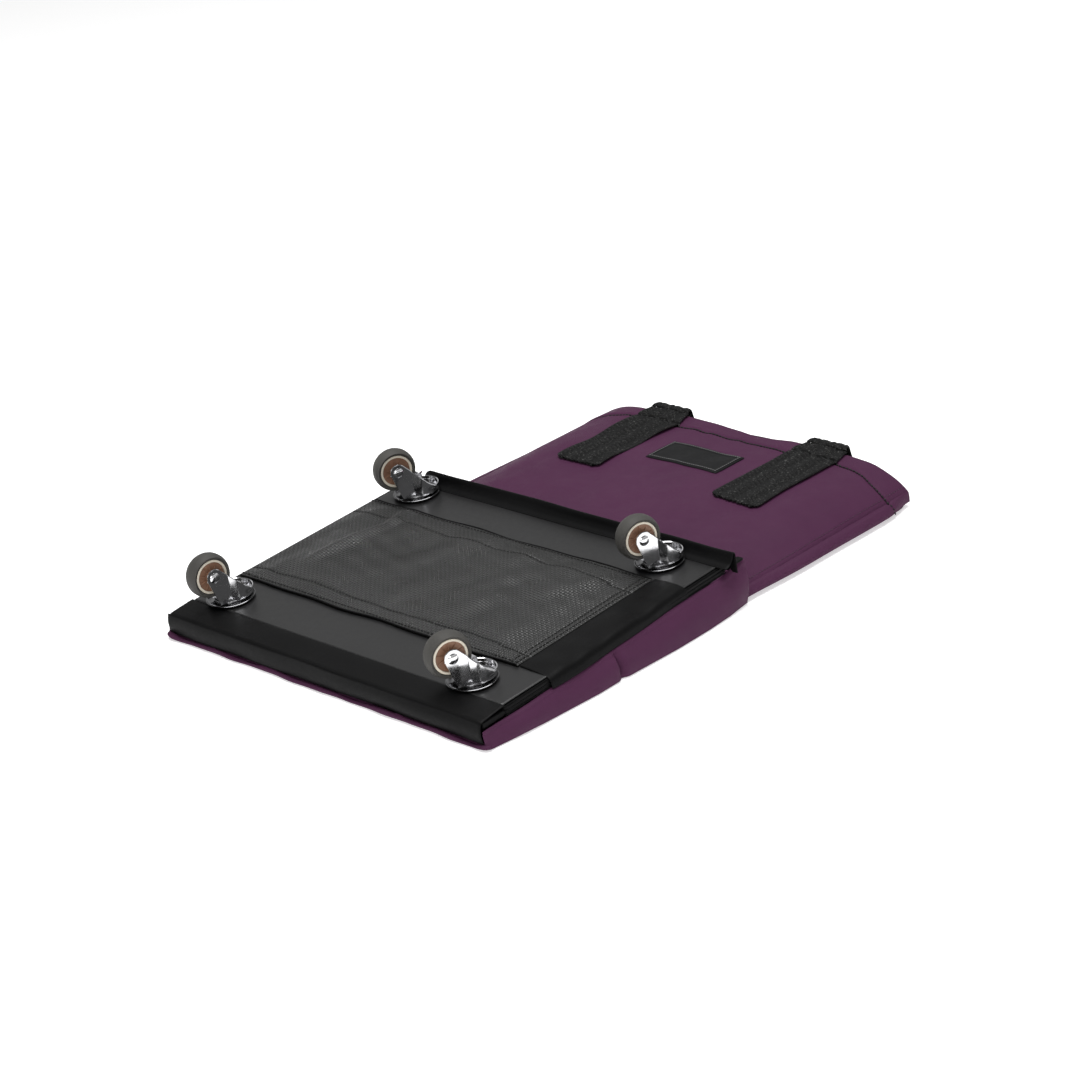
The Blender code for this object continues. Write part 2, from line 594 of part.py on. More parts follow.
def wheel_meshes():
    """Hub, rim ring and tyre, all turned about Z."""
    half = WHEEL_WIDTH / 2
    bore = AXLE_RADIUS + RUNNING_GAP
    web = HUB_WEB / 2
    rim_inner = RIM_RADIUS - RIM_WALL
    boss = half - 0.0002
    hub_outer = rim_inner - FIT_GAP
    hub = turned("wheel_hub", [(bore, -boss), (HUB_BOSS_RADIUS, -boss), (HUB_BOSS_RADIUS, -web), (hub_outer, -web),
                               (hub_outer, web), (HUB_BOSS_RADIUS, web), (HUB_BOSS_RADIUS, boss), (bore, boss)], 24)
    face = half - 0.0012
    rim = turned("rim_ring", [(rim_inner, -face), (RIM_RADIUS, -face), (RIM_RADIUS, face), (rim_inner, face)], 28)
    bed = RIM_RADIUS + FIT_GAP
    shoulder = 0.0045
    side = half - 0.0008
    tyre = turned("tyre", [(bed, -side), (WHEEL_RADIUS - shoulder, -half), (WHEEL_RADIUS - 0.0012, -half + 0.0022),
                           (WHEEL_RADIUS, -half + shoulder + 0.001), (WHEEL_RADIUS, half - shoulder - 0.001),
                           (WHEEL_RADIUS - 0.0012, half - 0.0022), (WHEEL_RADIUS - shoulder, half), (bed, side)], 32)
    return {"hub": (hub, "hub_plastic"), "rim": (rim, "rim_plastic"), "tyre": (tyre, "tyre")}


def casters(parent):
    """Four swivel casters on the rails, each with its own fork and wheel frames."""
    fixed = {"disc": disc_mesh(), "kingpin": kingpin_mesh(), "race": race_mesh()}
    lift = {"disc": FIT_GAP, "kingpin": 0.0, "race": FIT_GAP + DISC_THICK + FIT_GAP}
    fork = fork_mesh()
    axle = axle_mesh()
    wheel = wheel_meshes()
    lay_down = (0, math.pi / 2, 0)
    places = [(row, column) for row in ("near", "far") for column in ("left", "right")]
    for row, column in places:
        corner = row + "_" + column
        x = CASTER_ACROSS[column == "right"]
        y = CASTER_ALONG[row == "far"]
        mount = frame(corner + "_caster_frame", parent=parent, location=(x, y, RAIL_TOP))
        for piece, mesh in fixed.items():
            place(corner + "_" + piece, mesh, "chrome", parent=mount, location=(0, 0, lift[piece]))
        swivel = frame(corner + "_fork_frame", parent=mount, rotation=(0, 0, math.radians(CASTER_YAW[corner])))
        place(corner + "_fork", fork, "chrome", parent=swivel)
        hub = frame(corner + "_wheel_frame", parent=swivel, location=(0, -TRAIL, AXLE_HEIGHT))
        place(corner + "_axle", axle, "chrome", parent=hub, rotation=lay_down)
        for piece, (mesh, slot) in wheel.items():
            place(corner + "_" + piece, mesh, slot, parent=hub, rotation=lay_down)


def build():
    """Clear the scene and build the whole bag."""
    for found in list(bpy.data.objects):
        bpy.data.objects.remove(found)
    bag_panels()
    upper_gussets()
    lower_gussets()
    straps()
    handles()
    base = frame("base_frame", location=(0, Y_ORIGIN, FOLD_HEIGHT), rotation=(BASE_LEAN, 0, 0))
    base_cover(base)
    rails(base)
    sleeve_and_bands(base)
    tucked_folds(base)
    casters(base)
    bpy.context.view_layer.update()


build()
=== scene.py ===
"""Looks of a rolling tote bag that lies folded flat, with its wheeled base folded up on top.

Lengths are metres. Bag coordinates have X across the bag, Y from its bottom edge towards the mouth
and Z up from the floor. Base coordinates lie on the base, which leans up a little from the fold.
"""

import logging
import math
from dataclasses import dataclass
from enum import Enum
from typing import Callable, Iterable, Sequence

import bmesh
import bpy
import numpy as np
from mathutils import Matrix, Vector


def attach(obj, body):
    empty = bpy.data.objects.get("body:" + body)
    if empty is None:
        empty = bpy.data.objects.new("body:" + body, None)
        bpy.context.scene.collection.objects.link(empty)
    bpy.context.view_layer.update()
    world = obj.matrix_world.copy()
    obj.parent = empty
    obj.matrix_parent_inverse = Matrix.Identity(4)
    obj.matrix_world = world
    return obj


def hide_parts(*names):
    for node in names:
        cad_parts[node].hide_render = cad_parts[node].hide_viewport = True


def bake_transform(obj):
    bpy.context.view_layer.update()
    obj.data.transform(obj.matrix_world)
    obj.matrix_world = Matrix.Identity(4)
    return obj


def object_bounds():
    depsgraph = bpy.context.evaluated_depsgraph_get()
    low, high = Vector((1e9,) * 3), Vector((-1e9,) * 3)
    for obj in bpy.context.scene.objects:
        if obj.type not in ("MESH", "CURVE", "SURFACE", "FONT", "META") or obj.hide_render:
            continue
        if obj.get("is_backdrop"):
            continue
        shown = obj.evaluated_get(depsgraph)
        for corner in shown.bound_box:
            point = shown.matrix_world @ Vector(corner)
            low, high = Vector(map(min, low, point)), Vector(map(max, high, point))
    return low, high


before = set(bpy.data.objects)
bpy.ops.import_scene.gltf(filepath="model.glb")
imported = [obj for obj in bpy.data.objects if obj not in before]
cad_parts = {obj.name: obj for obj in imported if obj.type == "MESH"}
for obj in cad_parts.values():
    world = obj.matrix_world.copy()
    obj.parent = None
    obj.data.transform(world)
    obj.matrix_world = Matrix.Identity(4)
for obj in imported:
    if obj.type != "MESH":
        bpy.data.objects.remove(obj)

LOG = logging.getLogger("tote")
Point = tuple[float, float, float]


# ---------------------------------------------------------------- layout
@dataclass(frozen=True)
class Layout:
    """Places and sizes that several parts of the bag share, in metres."""

    y_shift: float = -0.35775
    fold_height: float = 0.005
    lean: float = math.atan2(0.022, 0.350)
    base_top: float = 0.023
    base_depth: float = 0.350
    rail_top: float = 0.0249
    skirt: float = 0.0085
    half_width: float = 0.225
    bag_length: float = 0.650
    edge_height: float = 0.013
    fold_crown: float = 0.031
    mouth_crown: float = 0.0415
    crown_power: tuple[float, float] = (5.0, 8.5)
    mouth_hem: float = 0.022
    strap_width: float = 0.062
    strap_spacing: float = 0.226
    strap_length: float = 0.158

    def bag(self) -> Matrix:
        """Bag coordinates to the shared frame."""
        return Matrix.Translation((0, self.y_shift, 0))

    def base(self) -> Matrix:
        """Base coordinates to the shared frame."""
        return Matrix.Translation((0, self.y_shift, self.fold_height)) @ Matrix.Rotation(self.lean, 4, "X")

    def crown(self, x: np.ndarray, y: np.ndarray) -> np.ndarray:
        """Height of the upper face of the front panel."""
        run = ease((y - self.base_depth) / (self.bag_length - self.base_depth) * 1.6)
        middle = self.fold_crown + (self.mouth_crown - self.fold_crown) * run
        share = np.minimum(np.abs(x) / self.half_width, 1.0)
        power = self.crown_power[0] + (self.crown_power[1] - self.crown_power[0]) * ease((y - 0.44) / 0.19)
        return self.edge_height + (middle - self.edge_height) * (1 - share**power)


class Body(Enum):
    """Bodies of the joint tree that pieces ride on."""

    BAG = "bag"
    BASE = "base"
    TUCK_UPPER = "tuck_upper"
    TUCK_LOWER = "tuck_lower"
    FRONT_HANDLE = "front_handle_loop"
    BACK_HANDLE = "back_handle_loop"


class Side(Enum):
    """Left and right of the bag, as the sign of X."""

    LEFT = -1
    RIGHT = 1

    @property
    def word(self) -> str:
        """Lower-case name of the side."""
        return self.name.lower()


# ---------------------------------------------------------------- numbers
def ease(value: np.ndarray | float) -> np.ndarray | float:
    """Smooth step from 0 to 1."""
    value = np.clip(value, 0.0, 1.0)
    return value * value * (3 - 2 * value)


class Ripple:
    """Smooth repeatable noise over a plane, made of a few seeded waves."""

    def __init__(self, seed: int, wavelength: float, waves: int = 7,
                 stretch: tuple[float, float] = (1.0, 1.0)):
        rng = np.random.default_rng(seed)
        turns = rng.uniform(0, 2 * math.pi, waves)
        lengths = wavelength * rng.uniform(0.55, 1.8, waves)
        self.kx = 2 * math.pi / lengths * np.cos(turns) * stretch[0]
        self.ky = 2 * math.pi / lengths * np.sin(turns) * stretch[1]
        self.phase = rng.uniform(0, 2 * math.pi, waves)
        self.gain = 1 / math.sqrt(waves)

    def __call__(self, x: np.ndarray, y: np.ndarray) -> np.ndarray:
        """Noise at each place, mostly between -1 and 1."""
        total = np.zeros(np.broadcast(x, y).shape)
        for kx, ky, phase in zip(self.kx, self.ky, self.phase):
            total = total + np.sin(kx * x + ky * y + phase)
        return total * self.gain


def ridge(x: np.ndarray, y: np.ndarray, start: tuple[float, float], end: tuple[float, float],
          width: float) -> np.ndarray:
    """A soft crease along a straight line.

    Args:
        x: Places across.
        y: Places along.
        start: Where the crease starts.
        end: Where it ends.
        width: How far from its line it has faded.

    Returns:
        1 on the line, falling to 0 at its width and at its ends.
    """
    run = np.array(end) - np.array(start)
    length = float(np.hypot(*run))
    along = ((x - start[0]) * run[0] + (y - start[1]) * run[1]) / length
    across = ((x - start[0]) * -run[1] + (y - start[1]) * run[0]) / length
    ends = ease(along / (length * 0.3)) * ease((length - along) / (length * 0.3))
    return np.exp(-((across / width) ** 2)) * ends


def distances(points: np.ndarray) -> np.ndarray:
    """Distance of each point from the first one, along the line of points."""
    return np.concatenate([[0], np.cumsum(np.linalg.norm(np.diff(points, axis=0), axis=1))])


def smoothed(values: np.ndarray, times: int) -> np.ndarray:
    """A line of values whose inner ones are averaged with their neighbours, several times over."""
    values = np.array(values)
    for _ in range(times):
        values[1:-1] = (values[:-2] + 2 * values[1:-1] + values[2:]) / 4
    return values


def softened_line(knots: np.ndarray, count: int, times: int) -> tuple[np.ndarray, np.ndarray]:
    """Evenly spaced points along a line of two-dimensional knots, with its corners softened.

    Args:
        knots: Knots of the line, one per row.
        count: How many points the line gets.
        times: How often it is smoothed.

    Returns:
        The first and the second coordinate of every point.
    """
    spots = distances(knots)
    fine = np.linspace(0, spots[-1], count)
    first, second = (smoothed(np.interp(fine, spots, knots[:, axis]), times) for axis in (0, 1))
    return first, second


# ---------------------------------------------------------------- meshes
def mesh_from(name: str, points: np.ndarray, faces: Sequence[Sequence[int]], uv: np.ndarray | None = None,
              sharp: float = 40.0) -> bpy.types.Mesh:
    """A smooth mesh, with an optional UV for each point.

    Args:
        name: Name of the mesh.
        points: Points, one per row.
        faces: Point numbers of each face.
        uv: Texture place of each point, in metres.
        sharp: Angle in degrees from which an edge stays sharp.

    Returns:
        The mesh, with its faces pointing out.
    """
    mesh = bpy.data.meshes.new(name)
    mesh.from_pydata([tuple(p) for p in points], [], faces)
    if uv is not None:
        layer = mesh.uv_layers.new(name="cloth")
        numbers = np.empty(len(mesh.loops), dtype=np.int32)
        mesh.loops.foreach_get("vertex_index", numbers)
        layer.data.foreach_set("uv", uv[numbers].astype(np.float32).ravel())
    bm = bmesh.new()
    bm.from_mesh(mesh)
    bmesh.ops.recalc_face_normals(bm, faces=bm.faces)
    bm.to_mesh(mesh)
    bm.free()
    mesh.shade_smooth()
    mesh.set_sharp_from_angle(angle=math.radians(sharp))
    return mesh


def finished(name: str, bm: bmesh.types.BMesh, sharp: float) -> bpy.types.Mesh:
    """Turns a bmesh into a smooth mesh, with edges sharp from an angle in degrees, and frees it."""
    mesh = bpy.data.meshes.new(name)
    bm.to_mesh(mesh)
    bm.free()
    mesh.shade_smooth()
    mesh.set_sharp_from_angle(angle=math.radians(sharp))
    return mesh


def points_of(mesh: bpy.types.Mesh) -> np.ndarray:
    """Points of a mesh, one per row."""
    return np.array([v.co for v in mesh.vertices])


def set_points(mesh: bpy.types.Mesh, points: np.ndarray) -> None:
    """Moves the points of a mesh."""
    mesh.vertices.foreach_set("co", points.ravel())
    mesh.update()


def grid_faces(rows: int, columns: int, start: int = 0) -> list[tuple[int, int, int, int]]:
    """Faces of a grid of points."""
    faces = []
    for row in range(rows - 1):
        for column in range(columns - 1):
            corner = start + row * columns + column
            faces.append((corner, corner + 1, corner + columns + 1, corner + columns))
    return faces


def ring_faces(rings: int, sides: int) -> list[tuple[int, ...]]:
    """Faces of a closed skin over rings of points, with a cap at each end."""
    faces: list[tuple[int, ...]] = []
    for ring in range(rings - 1):
        for side in range(sides):
            after = (side + 1) % sides
            faces.append((ring * sides + side, ring * sides + after,
                          (ring + 1) * sides + after, (ring + 1) * sides + side))
    faces.append(tuple(range(sides)))
    faces.append(tuple(reversed(range((rings - 1) * sides, rings * sides))))
    return faces


def grid_normals(grid: np.ndarray) -> np.ndarray:
    """Unit normals of a grid of points."""
    along = np.gradient(grid, axis=0)
    across = np.gradient(grid, axis=1)
    normal = np.cross(across, along)
    return normal / np.maximum(np.linalg.norm(normal, axis=2, keepdims=True), 1e-9)


def arc_uv(grid: np.ndarray) -> np.ndarray:
    """Texture place of each grid point, in metres along its row and column."""
    across = np.linalg.norm(np.diff(grid, axis=1), axis=2)
    along = np.linalg.norm(np.diff(grid, axis=0), axis=2)
    u = np.concatenate([np.zeros((grid.shape[0], 1)), np.cumsum(across, axis=1)], axis=1)
    v = np.concatenate([np.zeros((1, grid.shape[1])), np.cumsum(along, axis=0)], axis=0)
    u = u - u.mean(axis=1, keepdims=True)
    return np.stack([u, v], axis=2)


def sheet_mesh(name: str, grid: np.ndarray, thickness: float) -> bpy.types.Mesh:
    """A closed sheet whose upper face is a grid of points, with rounded edges.

    Args:
        name: Name of the mesh.
        grid: Upper face, as rows x columns x 3.
        thickness: How far the lower face lies under the upper one.

    Returns:
        The closed mesh, with its cloth UV in metres.
    """
    rows, columns = grid.shape[:2]
    normal = grid_normals(grid)
    if normal[..., 2].mean() < -0.05:
        normal = -normal
    lower = grid - normal * thickness
    rim_index = [(0, c) for c in range(columns)]
    rim_index += [(r, columns - 1) for r in range(1, rows)]
    rim_index += [(rows - 1, c) for c in range(columns - 2, -1, -1)]
    rim_index += [(r, 0) for r in range(rows - 2, 0, -1)]
    middle = (grid + lower) / 2
    rim = []
    for r, c in rim_index:
        inner = middle[min(max(r, 1), rows - 2), min(max(c, 1), columns - 2)]
        out = middle[r, c] - inner
        rim.append(middle[r, c] + out / max(np.linalg.norm(out), 1e-9) * thickness / 2)
    size = rows * columns
    points = np.concatenate([grid.reshape(-1, 3), lower.reshape(-1, 3), np.array(rim)])
    faces = grid_faces(rows, columns)
    faces += [tuple(reversed(face)) for face in grid_faces(rows, columns, size)]
    upper_rim = [r * columns + c for r, c in rim_index]
    count = len(rim_index)
    for index in range(count):
        after = (index + 1) % count
        faces.append((upper_rim[after], upper_rim[index], 2 * size + index, 2 * size + after))
        faces.append((2 * size + after, 2 * size + index, size + upper_rim[index], size + upper_rim[after]))
    flat = arc_uv(grid).reshape(-1, 2)
    rim_uv = np.array([flat[number] for number in upper_rim])
    return mesh_from(name, points, faces, np.concatenate([flat, flat, rim_uv]), 75.0)


def lathe(name: str, profile: Sequence[tuple[float, float]], segments: int,
          sharp: float = 35.0) -> bpy.types.Mesh:
    """A closed (radius, height) profile turned right round Z.

    Args:
        name: Name of the mesh.
        profile: Closed outline; radius 0 is on the axis.
        segments: Steps of the whole turn.
        sharp: Angle in degrees from which an edge stays sharp.

    Returns:
        The closed mesh.
    """
    angles = np.radians(np.arange(segments) * 360.0 / segments)
    count = len(profile)
    points = [(r * math.cos(a), r * math.sin(a), z) for a in angles for r, z in profile]
    faces: list[tuple[int, ...]] = []
    for step in range(segments):
        after = (step + 1) % segments
        for index in range(count):
            following = (index + 1) % count
            faces.append((step * count + index, after * count + index,
                          after * count + following, step * count + following))
    bm = bmesh.new()
    made = [bm.verts.new(p) for p in points]
    for face in faces:
        bm.faces.new([made[number] for number in face])
    bmesh.ops.remove_doubles(bm, verts=bm.verts, dist=1e-6)
    bmesh.ops.dissolve_degenerate(bm, edges=bm.edges, dist=1e-7)
    bmesh.ops.recalc_face_normals(bm, faces=bm.faces)
    return finished(name, bm, sharp)


def rounded_profile(corners: Sequence[tuple[float, float]], radius: float,
                    steps: int = 4) -> list[tuple[float, float]]:
    """A closed outline with its corners rounded.

    Args:
        corners: Corners of the outline, in order.
        radius: Radius of each corner, limited by the sides beside it.
        steps: Points of each corner.

    Returns:
        The rounded outline.
    """
    out: list[tuple[float, float]] = []
    count = len(corners)
    for index, corner in enumerate(corners):
        here = Vector(corner)
        before = Vector(corners[index - 1]) - here
        after = Vector(corners[(index + 1) % count]) - here
        reach = min(radius, before.length * 0.49, after.length * 0.49)
        first = here + before.normalized() * reach
        last = here + after.normalized() * reach
        for step in range(steps + 1):
            t = step / steps
            spot = first * (1 - t) ** 2 + here * 2 * t * (1 - t) + last * t**2
            out.append((spot.x, spot.y))
    return out


def slab(name: str, outline: Sequence[tuple[float, float]], low: float, high: float, bevel: float = 0.0004,
         segments: int = 2) -> bpy.types.Mesh:
    """An outline in X and Y made solid between two heights, with its edges bevelled.

    Args:
        name: Name of the mesh.
        outline: Corners of the outline, in order.
        low: Height of the lower face.
        high: Height of the upper face.
        bevel: Width of the bevel; 0 leaves the edges as they are.
        segments: Steps of the bevel.

    Returns:
        The closed mesh.
    """
    bm = bmesh.new()
    floor = [bm.verts.new((x, y, low)) for x, y in outline]
    face = bm.faces.new(floor)
    made = bmesh.ops.extrude_face_region(bm, geom=[face])
    lifted = [item for item in made["geom"] if isinstance(item, bmesh.types.BMVert)]
    bmesh.ops.translate(bm, verts=lifted, vec=(0, 0, high - low))
    bmesh.ops.recalc_face_normals(bm, faces=bm.faces)
    if bevel:
        edges = [e for e in bm.edges if e.calc_face_angle(0.0) > math.radians(40)]
        bmesh.ops.bevel(bm, geom=edges, offset=bevel, segments=segments, affect="EDGES", clamp_overlap=True)
    bmesh.ops.recalc_face_normals(bm, faces=bm.faces)
    return finished(name, bm, 35.0)


def rectangle(x: tuple[float, float], y: tuple[float, float]) -> list[tuple[float, float]]:
    """Corners of a rectangle."""
    return [(x[0], y[0]), (x[1], y[0]), (x[1], y[1]), (x[0], y[1])]


def tube(name: str, path: np.ndarray, radius: float, sides: int = 8) -> bpy.types.Mesh:
    """A round closed tube along a path of points.

    Args:
        name: Name of the mesh.
        path: Points of the middle line.
        radius: Radius of the tube.
        sides: Points of each ring.

    Returns:
        The closed mesh.
    """
    tangent = np.gradient(path, axis=0)
    tangent /= np.linalg.norm(tangent, axis=1, keepdims=True)
    lead = np.cross(tangent, (0.12, 0.23, 0.97))
    lead /= np.linalg.norm(lead, axis=1, keepdims=True)
    other = np.cross(tangent, lead)
    angles = np.linspace(0, 2 * math.pi, sides, endpoint=False)
    rings = path[:, None] + radius * (lead[:, None] * np.cos(angles)[None, :, None]
                                      + other[:, None] * np.sin(angles)[None, :, None])
    return mesh_from(name, rings.reshape(-1, 3), ring_faces(len(path), sides))


def joined(name: str, meshes: Iterable[bpy.types.Mesh], sharp: float = 35.0) -> bpy.types.Mesh:
    """Several meshes as one."""
    bm = bmesh.new()
    for mesh in meshes:
        bm.from_mesh(mesh)
    return finished(name, bm, sharp)


def moved(mesh: bpy.types.Mesh, matrix: Matrix) -> bpy.types.Mesh:
    """A copy of a mesh, moved by a matrix."""
    copy = mesh.copy()
    copy.transform(matrix)
    return copy


# ---------------------------------------------------------------- stitches
class StitchKit:
    """Rows of thread stitches, made by a geometry node group along a line of points."""

    def __init__(self) -> None:
        self.group = self._group()

    @staticmethod
    def _group() -> bpy.types.NodeTree:
        """Builds the node group: points along the line, a stitch on each, made real."""
        group = bpy.data.node_groups.new("stitch_row", "GeometryNodeTree")
        face = group.interface
        inputs = {"Geometry": "Geometry", "Pitch": "Float", "Length": "Float", "Radius": "Float",
                  "Material": "Material"}
        for label, kind in inputs.items():
            face.new_socket(label, in_out="INPUT", socket_type="NodeSocket" + kind)
        face.new_socket("Geometry", in_out="OUTPUT", socket_type="NodeSocketGeometry")
        nodes, links = group.nodes, group.links
        begin = nodes.new("NodeGroupInput")
        end = nodes.new("NodeGroupOutput")
        to_curve = nodes.new("GeometryNodeMeshToCurve")
        points = nodes.new("GeometryNodeCurveToPoints")
        points.mode = "LENGTH"
        align = nodes.new("FunctionNodeAlignRotationToVector")
        align.axis = "X"
        ball = nodes.new("GeometryNodeMeshUVSphere")
        ball.inputs["Segments"].default_value = 6
        ball.inputs["Rings"].default_value = 5
        ball.inputs["Radius"].default_value = 1.0
        half = nodes.new("ShaderNodeMath")
        half.operation = "MULTIPLY"
        half.inputs[1].default_value = 0.5
        size = nodes.new("ShaderNodeCombineXYZ")
        place = nodes.new("GeometryNodeInstanceOnPoints")
        real = nodes.new("GeometryNodeRealizeInstances")
        paint = nodes.new("GeometryNodeSetMaterial")
        for source, output, target, entry in (
                (begin, "Geometry", to_curve, "Mesh"),
                (to_curve, "Curve", points, "Curve"),
                (begin, "Pitch", points, "Length"),
                (points, "Points", place, "Points"),
                (points, "Tangent", align, "Vector"),
                (align, "Rotation", place, "Rotation"),
                (begin, "Length", half, 0),
                (half, 0, size, "X"),
                (begin, "Radius", size, "Y"),
                (begin, "Radius", size, "Z"),
                (size, "Vector", place, "Scale"),
                (ball, "Mesh", place, "Instance"),
                (place, "Instances", real, "Geometry"),
                (real, "Geometry", paint, "Geometry"),
                (begin, "Material", paint, "Material"),
                (paint, "Geometry", end, "Geometry")):
            links.new(source.outputs[output], target.inputs[entry])
        return group

    def rows(self, name: str, lines: Sequence[np.ndarray], material: bpy.types.Material,
             pitch: float = 0.0042, length: float = 0.0032, radius: float = 0.00035) -> bpy.types.Mesh:
        """Stitches along several lines of points.

        Args:
            name: Name of the mesh.
            lines: Points of each line, in the shared frame.
            material: Thread material.
            pitch: From one stitch to the next.
            length: Length of a stitch.
            radius: Radius of the thread.

        Returns:
            One mesh with every stitch.
        """
        points: list[np.ndarray] = []
        edges: list[tuple[int, int]] = []
        for line in lines:
            first = sum(len(p) for p in points)
            points.append(line)
            edges += [(first + i, first + i + 1) for i in range(len(line) - 1)]
        wire = bpy.data.meshes.new(name + "_line")
        wire.from_pydata([tuple(p) for p in np.concatenate(points)], edges, [])
        carrier = bpy.data.objects.new(name + "_line", wire)
        bpy.context.scene.collection.objects.link(carrier)
        modifier = carrier.modifiers.new("stitches", "NODES")
        modifier.node_group = self.group
        values = {"Pitch": pitch, "Length": length, "Radius": radius, "Material": material}
        for item in self.group.interface.items_tree:
            if item.in_out == "INPUT" and item.name in values:
                modifier[item.identifier] = values[item.name]
        evaluated = carrier.evaluated_get(bpy.context.evaluated_depsgraph_get())
        mesh = bpy.data.meshes.new_from_object(evaluated)
        carrier.modifiers.remove(modifier)
        bpy.data.objects.remove(carrier)
        mesh.name = name
        mesh.shade_smooth()
        return mesh


# ---------------------------------------------------------------- materials
class Graph:
    """A small helper that adds shader nodes and links them."""

    def __init__(self, tree: bpy.types.NodeTree) -> None:
        self.tree = tree

    def add(self, kind: str, *values: object, **named: object) -> bpy.types.Node:
        """Adds a node; sockets and numbers fill its inputs in order or by name.

        Args:
            kind: Node type.
            values: Inputs in order; None leaves one as it is.
            named: Inputs by name, with _ for a space, or properties of the node.

        Returns:
            The node.
        """
        node = self.tree.nodes.new(kind)
        for key, value in named.items():
            label = key.replace("_", " ")
            if label in node.inputs:
                self.fill(node.inputs[label], value)
            else:
                setattr(node, key, value)
        for socket, value in zip(node.inputs, values):
            if value is not None:
                self.fill(socket, value)
        return node

    def fill(self, socket: bpy.types.NodeSocket, value: object) -> None:
        """Links a socket, or sets its value."""
        if isinstance(value, bpy.types.NodeSocket):
            self.tree.links.new(value, socket)
        else:
            socket.default_value = value

    def math(self, operation: str, *values: object) -> bpy.types.NodeSocket:
        """Result of a math node."""
        return self.add("ShaderNodeMath", *values, operation=operation).outputs[0]

    def mix(self, share: object, first: object, second: object) -> bpy.types.NodeSocket:
        """Mixes two colours."""
        node = self.add("ShaderNodeMix", data_type="RGBA")
        self.fill(node.inputs[0], share)
        self.fill(node.inputs[6], first)
        self.fill(node.inputs[7], second)
        return node.outputs[2]

    def ramp(self, value: object, low: float, high: float, out_low: float,
             out_high: float) -> bpy.types.NodeSocket:
        """Maps a value's range to another one, without going past it."""
        return self.add("ShaderNodeMapRange", value, low, high, out_low, out_high).outputs[0]

    def noise(self, vector: object, scale: float, detail: float = 3.0,
              rough: float = 0.55) -> bpy.types.NodeSocket:
        """Noise of a scale, in waves per metre."""
        return self.add("ShaderNodeTexNoise", Vector=vector, Scale=scale, Detail=detail,
                        Roughness=rough).outputs[0]


def new_graph(name: str) -> tuple[bpy.types.Material, Graph, bpy.types.Node]:
    """A new material with its graph and its Principled shader."""
    material = bpy.data.materials.new(name)
    material.use_nodes = True
    return material, Graph(material.node_tree), material.node_tree.nodes["Principled BSDF"]


def grey(value: float) -> tuple[float, float, float, float]:
    """A neutral colour."""
    return (value, value, value, 1.0)


@dataclass(frozen=True)
class Woven:
    """Cloth woven of flat plastic strips, or of fine yarn when its pitch is small, with painted shade in
    the hollows of its weave.
    """

    name: str
    colour: tuple[float, float, float]
    light: tuple[float, float, float]
    pitch: float
    depth: float
    roughness: float
    specular: float = 0.5
    # Share by which the strips that run one way are painted darker, as shade, and made rougher.
    contrast: float = 0.0

    def build(self) -> bpy.types.Material:
        """Makes the material."""
        material, g, shader = new_graph(self.name)
        uv = g.add("ShaderNodeUVMap", uv_map="cloth").outputs[0]
        place = g.add("ShaderNodeTexCoord").outputs["Object"]
        wobble = g.noise(place, 60.0, 2.0)
        parts = g.add("ShaderNodeSeparateXYZ", uv)
        u = g.math("ADD", g.math("DIVIDE", parts.outputs[0], self.pitch), g.math("MULTIPLY", wobble, 0.35))
        v = g.math("ADD", g.math("DIVIDE", parts.outputs[1], self.pitch), g.math("MULTIPLY", wobble, 0.35))
        over = g.math("MODULO", g.math("ADD", g.math("FLOOR", u), g.math("FLOOR", v)), 2.0)
        over = g.math("GREATER_THAN", g.math("ABSOLUTE", over), 0.5)
        cu = g.math("ABSOLUTE", g.math("SUBTRACT", g.math("FRACT", u), 0.5))
        cv = g.math("ABSOLUTE", g.math("SUBTRACT", g.math("FRACT", v), 0.5))
        strip_u = self._strip(g, cu, cv)
        strip_v = self._strip(g, cv, cu)
        height = g.add("ShaderNodeMix", over, data_type="FLOAT")
        g.fill(height.inputs[2], strip_u)
        g.fill(height.inputs[3], strip_v)
        fine = g.noise(place, 900.0, 2.0)
        bump_height = g.math("ADD", height.outputs[0], g.math("MULTIPLY", fine, 0.15))
        bump = g.add("ShaderNodeBump", Strength=1.0, Distance=self.depth, Height=bump_height)
        broad = g.noise(place, 14.0, 4.0)
        patch = g.ramp(broad, 0.3, 0.7, 0.0, 1.0)
        tone = g.mix(g.math("MULTIPLY", patch, 0.55), (*self.colour, 1.0), (*self.light, 1.0))
        # Painted shade: the colour darkens towards the hollows of the weave, where a strip dips under the
        # next one, and on the strips that run one way.
        painted_weave_shade = g.ramp(height.outputs[0], 0.0, 0.9, 0.55, 1.05)
        painted_weave_shade = g.math("MULTIPLY", painted_weave_shade, g.math("SUBTRACT", 1.0, g.math("MULTIPLY", over, self.contrast)))
        tone_with_painted_shade = g.add("ShaderNodeVectorMath", tone, operation="SCALE", Scale=painted_weave_shade).outputs[0]
        g.fill(shader.inputs["Base Color"], tone_with_painted_shade)
        rough = g.ramp(g.noise(place, 45.0, 3.0), 0.3, 0.7, self.roughness - 0.06, self.roughness + 0.08)
        rough = g.math("ADD", rough, g.math("MULTIPLY", over, 0.3 * self.contrast))
        g.fill(shader.inputs["Roughness"], rough)
        g.fill(shader.inputs["Specular IOR Level"], self.specular)
        g.fill(shader.inputs["Normal"], bump.outputs[0])
        return material

    @staticmethod
    def _strip(g: Graph, across: object, along: object) -> object:
        """Height of one strip: domed across it, dipping where it goes under the next one."""
        dome = g.math("SUBTRACT", 1.0, g.math("POWER", g.math("MULTIPLY", across, 2.0), 4.0))
        sunk = g.math("POWER", g.math("MULTIPLY", along, 2.0), 2.0)
        dip = g.math("SUBTRACT", 1.0, g.math("MULTIPLY", sunk, 0.45))
        return g.math("MULTIPLY", dome, dip)


